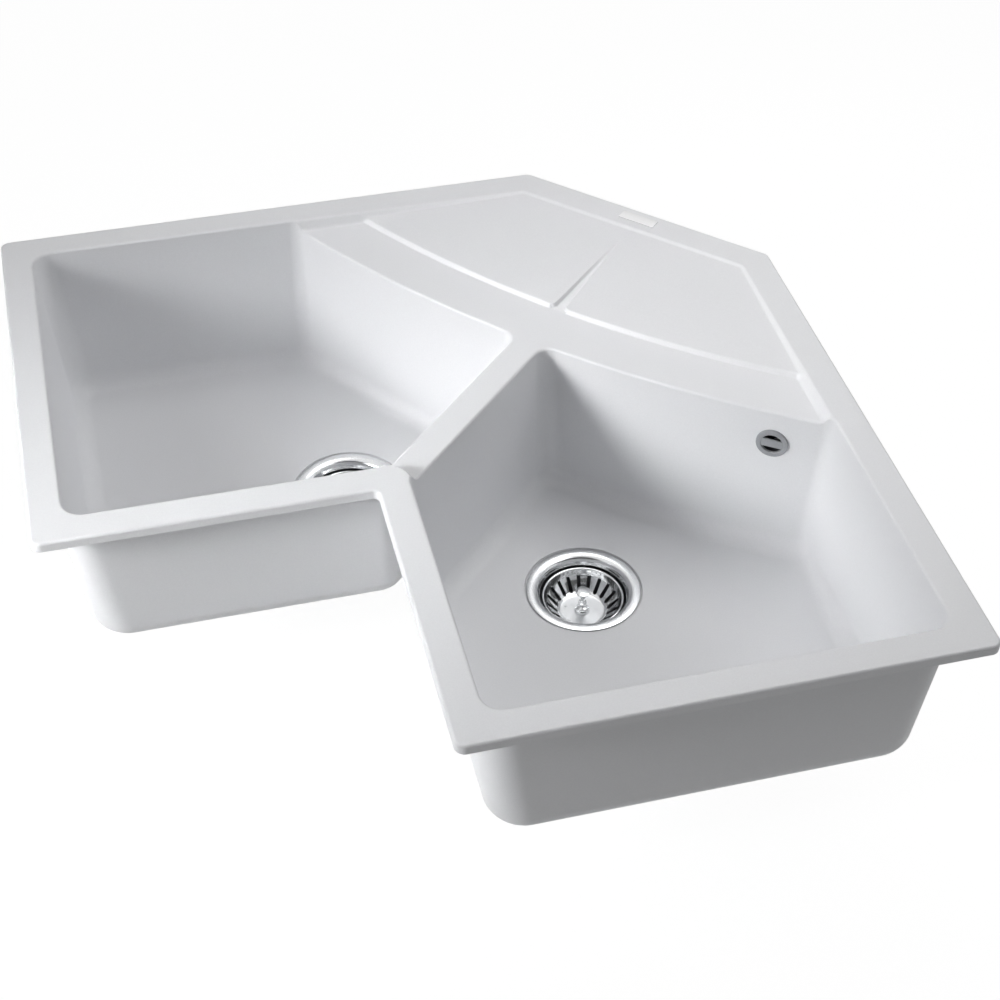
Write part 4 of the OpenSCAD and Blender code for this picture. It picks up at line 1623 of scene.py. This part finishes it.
@dataclass
class PipeRun:
    """The overflow's can, pipe, elbow and nuts, from the bowl wall to the right waste."""

    back: float = 27.0
    drop: float = 36.0
    pipe_r: float = 11.0
    bore_r: float = 9.5
    socket_r: float = 13.0
    socket_bore: float = 11.1
    socket_deep: float = 12.0
    can_r: float = 17.0
    can_bore: float = 13.5
    can_l: float = 30.0
    can_wall: float = 2.5
    can_foot_r: float = 22.0
    can_foot_t: float = 3.0
    gasket_inner: float = 13.9
    gasket_t: float = 2.0
    wall_side: float = 10.5
    arm: float = 32.0
    deep: float = 57.0
    spur_end: float = 74.0
    nut_r: float = 17.5
    nut_l: float = 18.0
    nut_lip: float = 5.0
    gap: float = 0.3

    def elbow_at(self) -> Vector:
        """Return where the upright and the level pipe meet, in metres."""
        spot = OverflowSet().place() @ Vector((self.back * MM, 0.0, 0.0))
        return Vector((spot.x, spot.y, (SIZES.floor_z - self.deep) * MM))

    def run(self) -> Vector:
        """Return the level way from the right drain to the elbow, in millimetres."""
        x, y, _ = WasteSet(Hand.RIGHT).at()
        spot = self.elbow_at() / MM
        return Vector((spot.x - x, spot.y - y, 0.0))

    def turn(self) -> float:
        """Return the direction of the level pipe, seen from the drain."""
        way = self.run()
        return math.atan2(way.y, way.x)

    def elbow_place(self) -> Matrix:
        """Return the place of the elbow, with X towards the drain."""
        return Matrix.Translation(self.elbow_at()) @ Matrix.Rotation(self.turn() + math.pi, 4, "Z")

    def body(self) -> bpy.types.Object:
        """Build the can behind the bowl wall with its socket.

        Returns:
            The can.
        """
        start, end, past = self.wall_side, self.wall_side + self.can_l, -self.drop - 1.0
        lip = start + self.can_foot_t
        profile = [(0.0, start), (self.can_foot_r, start), (self.can_foot_r, lip), (self.can_r, lip),
                   (self.can_r, end), (0.0, end)]
        can = softened(profile, [0, 0.5, 0.8, 0.6, 1.6, 0], 4)
        thing = placed(spun("overflow_can", can, ORIGIN, 72, False), LAID)
        foot = (self.back, 0.0, 0.0)
        united(thing, drum("drop", self.socket_r, -self.drop, 0.0, foot, soft=0.5))
        cut(thing, placed(drum("hollow", self.can_bore, start - 1.0, end - self.can_wall, steps=72), LAID),
            drum("bore", self.bore_r, past, -1.0, foot),
            drum("socket", self.socket_bore, past, self.socket_deep - self.drop, foot))
        return placed(thing, OverflowSet().place())

    def elbow(self) -> bpy.types.Object:
        """Build the elbow with its two sockets.

        Returns:
            The elbow.
        """
        arm = drum("overflow_bend", self.socket_r, 0.0, self.arm, soft=0.4)
        level = placed(drum("level", self.socket_r, 0.0, self.arm, soft=0.4), LAID)
        bpy.ops.mesh.primitive_uv_sphere_add(segments=64, ring_count=32, radius=(self.socket_r + 0.02) * MM)
        thing = united(arm, level, applied(bpy.context.object))
        end, past = self.arm - self.socket_deep, self.arm + 1.0
        for way in (Matrix.Identity(4), LAID):
            cut(thing, placed(drum("bore", self.bore_r, -2.0, past), way))
            cut(thing, placed(drum("socket", self.socket_bore, end, past), way))
        return placed(thing, self.elbow_place())

    def nut(self, where: Matrix) -> bpy.types.Object:
        """Build one eight-sided nut, with its open side down.

        Args:
            where: Place of the nut's open side.

        Returns:
            The nut.
        """
        thing = bevelled(rod(self.nut_r, self.nut_l, (0, 0, self.nut_l / 2), 8), 0.9)
        cut(thing, drum("bore", self.socket_r + 0.1, -1.0, self.nut_l - self.nut_lip),
            drum("lip", self.socket_bore, -1.0, self.nut_l + 1.0))
        return placed(thing, where)

    def nuts(self) -> bpy.types.Object:
        """Build the four nuts of the pipe.

        Returns:
            The nuts as one object.
        """
        grip = self.nut_l - self.nut_lip - self.gap
        step = self.arm - self.nut_l + self.nut_lip + self.gap
        far = self.run().length - self.spur_end + grip
        elbow = self.elbow_place()
        places = [OverflowSet().place() @ shifted(self.back, 0, grip - self.drop) @ UPSIDE_DOWN,
                  elbow @ shifted(0, 0, step), elbow @ shifted(step, 0, 0) @ LAID,
                  elbow @ shifted(far, 0, 0) @ LAID @ UPSIDE_DOWN]
        return joined("overflow_nuts", [self.nut(where) for where in places])

    def build(self) -> Pieces:
        """Build the pieces.

        Returns:
            The pieces by the node that each replaces.
        """
        spot = self.elbow_at() / MM
        first = self.arm - self.socket_deep + self.gap
        high = SIZES.rim_t - SIZES.overflow_deep - self.drop + self.socket_deep - self.gap - spot.z
        down = ring("upright_pipe", self.pipe_r, self.bore_r, first, high, tuple(spot), soft=0.3)
        last = self.run().length - self.spur_end + self.socket_deep - self.gap
        level = placed(ring("level_pipe", self.pipe_r, self.bore_r, first, last, soft=0.3),
                       self.elbow_place() @ LAID)
        gasket = placed(ring("overflow_gasket_ring", self.can_foot_r, self.gasket_inner,
                             self.wall_side - self.gasket_t, self.wall_side, steps=72, soft=0.5),
                        OverflowSet().place() @ LAID)
        return {"overflow_body": BLACK.coat(self.body()), "overflow_elbow": BLACK.coat(self.elbow()),
                "pipe_nuts": BLACK.coat(self.nuts()), "overflow_pipe_down": WHITE_PIPE.coat(down),
                "overflow_pipe_level": WHITE_PIPE.coat(level), "overflow_gasket": RUBBER.coat(gasket)}


PIPE = PipeRun()


@dataclass
class RimSeal:
    """The foam tape in its groove under the rim."""

    soft: float = 0.2

    def build(self) -> Pieces:
        """Build the tape.

        Returns:
            The piece by the node that it replaces.
        """
        start, end, top, soft = SIZES.seal_in, SIZES.seal_in + SIZES.seal_w, SIZES.seal_t, self.soft
        path = [(start, top), (start, soft), (start + soft, 0.0), (end - soft, 0.0), (end, soft), (end, top),
                (start, top)]
        shell = Shell()
        shell.add_rings([lifted(SinkBody().edge_ring(inset), z) for inset, z in path])
        return {"rim_seal": FOAM.coat(shell.make("foam_tape"))}


@dataclass
class Plate:
    """The blank plate on the back rim."""

    length: float = 43.8
    width: float = 13.8
    thick: float = 0.8
    soft: float = 0.25

    def build(self) -> Pieces:
        """Build the plate, with painted shade on its edges.

        Returns:
            The piece by the node that it replaces.
        """
        s = SIZES
        x, y = to_plan(0.0, s.back - s.rim_w / 2)
        where = shifted(x + s.shift, y + s.shift, s.rim_t + self.thick / 2)
        thing = slab("blank_plate", (self.width, self.length, self.thick),
                     where @ Matrix.Rotation(math.pi / 4, 4, "Z"), self.soft)
        PLATE.coat(thing)
        # The plate's side faces get grey as painted shade.
        PLATE_EDGE_SHADE.dress(thing, lambda face: abs(face.normal.z) < FACES_ASIDE)
        return {"name_plate": thing}


@dataclass(frozen=True)
class Lamp:
    """A square soft lamp, with its power in watts, its sizes in metres and its spread in degrees."""

    name: str
    power: float
    size: float
    at: Place
    aim: Place = (0.0, 0.0, -0.05)
    spread: float = 180.0

    def build(self) -> None:
        """Add the lamp."""
        data = bpy.data.lights.new(self.name, "AREA")
        data.energy = self.power
        data.size = self.size
        data.spread = math.radians(self.spread)
        thing = linked(self.name, data)
        thing.location = self.at
        thing.rotation_euler = (Vector(self.aim) - Vector(self.at)).to_track_quat("-Z", "Y").to_euler()


LAMPS = (Lamp("key lamp", 14.3, 1.4, (-2.2, 0.2, 1.2)), Lamp("back lamp", 5.6, 0.7, (0.5, 0.5, 1.2)),
         Lamp("right lamp", 2.6, 0.9, (1.2, 0.4, 0.9)), Lamp("front right lamp", 2.7, 0.8, (0.9, -0.6, 1.2)),
         Lamp("near lamp", 1.5, 0.7, (-1.3, -0.4, 0.6)), Lamp("front lamp", 1.3, 1.4, (-2.2, -0.6, 1.2)),
         Lamp("low lamp", 1.3, 0.7, (-1.3, -0.8, 0.4)),
         Lamp("narrow lamp", 1.4, 0.5, (-1.6, -0.4, 0.7), (-0.2, 0.0, 0.0), 35.0))


@dataclass
class Studio:
    """Camera, lamps, floor and background."""

    lens: float = 67.934
    place: Place = (-243.242, -1343.907, 1238.719)
    turn: Place = (47.18724, -0.51273, -14.11175)
    floor_z: float = -280.2
    floor_glow: float = 1.07
    glow_share: float = 0.9
    world: float = 0.085
    white: tuple[float, float, float, float] = (1.0, 1.0, 1.0, 1.0)

    def camera(self) -> None:
        """Place the camera as the photograph has it."""
        data = bpy.data.cameras.new("camera")
        data.lens = self.lens
        data.sensor_width = 36.0
        data.clip_end = 50.0
        thing = linked("camera", data)
        thing.location = Vector(self.place) * MM
        thing.rotation_euler = [math.radians(a) for a in self.turn]
        bpy.context.scene.camera = thing

    def seen(self, tree: bpy.types.NodeTree) -> bpy.types.NodeSocket:
        """Return a socket that is 1 where the camera, a reflection or a clear piece sees the surface.

        Args:
            tree: The tree that gets the nodes.

        Returns:
            The socket.
        """
        path = tree.nodes.new("ShaderNodeLightPath").outputs
        known = worked_out(tree, "MAXIMUM", path["Is Camera Ray"], path["Is Glossy Ray"])
        return worked_out(tree, "MAXIMUM", known, path["Is Transmission Ray"])

    def room(self, tree: bpy.types.NodeTree) -> bpy.types.NodeSocket:
        """Return the brightness of the room: a reflection sees the side in front of the sink darker.

        Args:
            tree: The tree that gets the nodes.

        Returns:
            The socket.
        """
        nodes, links = tree.nodes, tree.links
        place = nodes.new("ShaderNodeTexCoord")
        parts = nodes.new("ShaderNodeSeparateXYZ")
        links.new(place.outputs["Generated"], parts.inputs["Vector"])
        fade = filled(nodes.new("ShaderNodeMapRange"), {
            "From Min": -0.62, "From Max": -0.2, "To Min": 0.12, "To Max": 1.0})
        fade.interpolation_type = "SMOOTHSTEP"
        links.new(parts.outputs["Y"], fade.inputs["Value"])
        path = nodes.new("ShaderNodeLightPath")
        return worked_out(tree, "MAXIMUM", fade.outputs["Result"], path.outputs["Is Camera Ray"])

    def mixed(self, tree: bpy.types.NodeTree, share: bpy.types.NodeSocket, plain: bpy.types.NodeSocket,
              bright: bpy.types.NodeSocket, output: str) -> None:
        """Mix a plain and a bright shader and link the mix to the output.

        Args:
            tree: The tree that gets the nodes.
            share: The share of the bright shader.
            plain: Output of the plain shader.
            bright: Output of the bright shader.
            output: Name of the output node.
        """
        mix = tree.nodes.new("ShaderNodeMixShader")
        for source, socket in zip((share, plain, bright), mix.inputs):
            tree.links.new(source, socket)
        tree.links.new(mix.outputs["Shader"], tree.nodes[output].inputs["Surface"])

    def background(self) -> None:
        """Make the world even, and white where the camera or a reflection sees it."""
        world = bpy.data.worlds.new("studio")
        bpy.context.scene.world = world
        world.use_nodes = True
        tree = world.node_tree
        plain = filled(tree.nodes["Background"], {"Color": (0.97, 0.98, 1.0, 1.0), "Strength": self.world})
        bright = filled(tree.nodes.new("ShaderNodeBackground"), {"Color": self.white})
        tree.links.new(self.room(tree), bright.inputs["Strength"])
        self.mixed(tree, self.seen(tree), plain.outputs[0], bright.outputs[0], "World Output")

    def floor(self) -> None:
        """Add the pale floor, white to the camera but for a soft shadow."""
        bpy.ops.mesh.primitive_plane_add(size=30.0, location=(0, 0, self.floor_z * MM))
        thing = bpy.context.object
        thing.name = "floor"
        made = bpy.data.materials.new("pale floor")
        made.use_nodes = True
        tree = made.node_tree
        plain = filled(tree.nodes["Principled BSDF"], {
            "Base Color": (0.8, 0.8, 0.8, 1.0), "Roughness": 0.9, "Specular IOR Level": 0.0})
        bright = filled(tree.nodes.new("ShaderNodeEmission"), {
            "Color": self.white, "Strength": self.floor_glow})
        share = worked_out(tree, "MULTIPLY", self.seen(tree), self.glow_share)
        self.mixed(tree, share, plain.outputs[0], bright.outputs[0], "Material Output")
        thing.data.materials.append(made)
        thing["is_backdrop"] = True

    def build(self) -> None:
        """Set up the whole studio."""
        bpy.context.scene.view_settings.view_transform = "Standard"
        self.camera()
        self.background()
        self.floor()
        for lamp in LAMPS:
            lamp.build()


SLOTS = {
    "sink_body": "composite", "name_plate": "plate", "rim_seal": "foam", "overflow_ring": "matt_grey",
    "flange": "polished_steel", "basket": "polished_steel", "basket_post": "polished_steel",
    "screw": "polished_steel", "flange_seal": "rubber", "body_gasket": "rubber", "basket_plug": "rubber",
    "overflow_gasket": "rubber", "body": "black_plastic", "overflow_body": "black_plastic",
    "overflow_elbow": "black_plastic", "pipe_nuts": "black_plastic", "overflow_pipe_down": "white_plastic",
    "overflow_pipe_level": "white_plastic"}


def short(node: str) -> str:
    """Return a node's name without the side that it starts with."""
    for hand in Hand:
        node = node.removeprefix(hand.value + "_")
    return node


def body_of(node: str) -> Body:
    """Return the rigid body that a node belongs to."""
    if "basket" in node:
        return Body.LEFT_STRAINER if node.startswith(Hand.LEFT.value) else Body.RIGHT_STRAINER
    return Body.SINK


def main() -> tuple[Vector, Vector]:
    """Build every piece around the frame.

    Returns:
        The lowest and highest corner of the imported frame.
    """
    logging.basicConfig(level=logging.INFO, format="%(message)s")
    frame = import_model()
    cad_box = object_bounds()
    Studio().build()
    pieces: Pieces = {}
    wastes = [part(hand) for hand in Hand for part in (WasteSet, Strainer)]
    for part in (SinkBody(), Plate(), RimSeal(), OverflowSet(), PIPE, *wastes):
        pieces |= part.build()
    for node, thing in pieces.items():
        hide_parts(node)
        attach(thing, body_of(node).value)
        SLOTS[short(node)]
        LOG.info("%s stands for %s with %d faces", thing.name, node, len(thing.data.polygons))
    LOG.info("%d pieces stand for %d nodes", len(pieces), len(frame["nodes"]))
    return cad_box


if __name__ == "__main__":
    start_box = main()
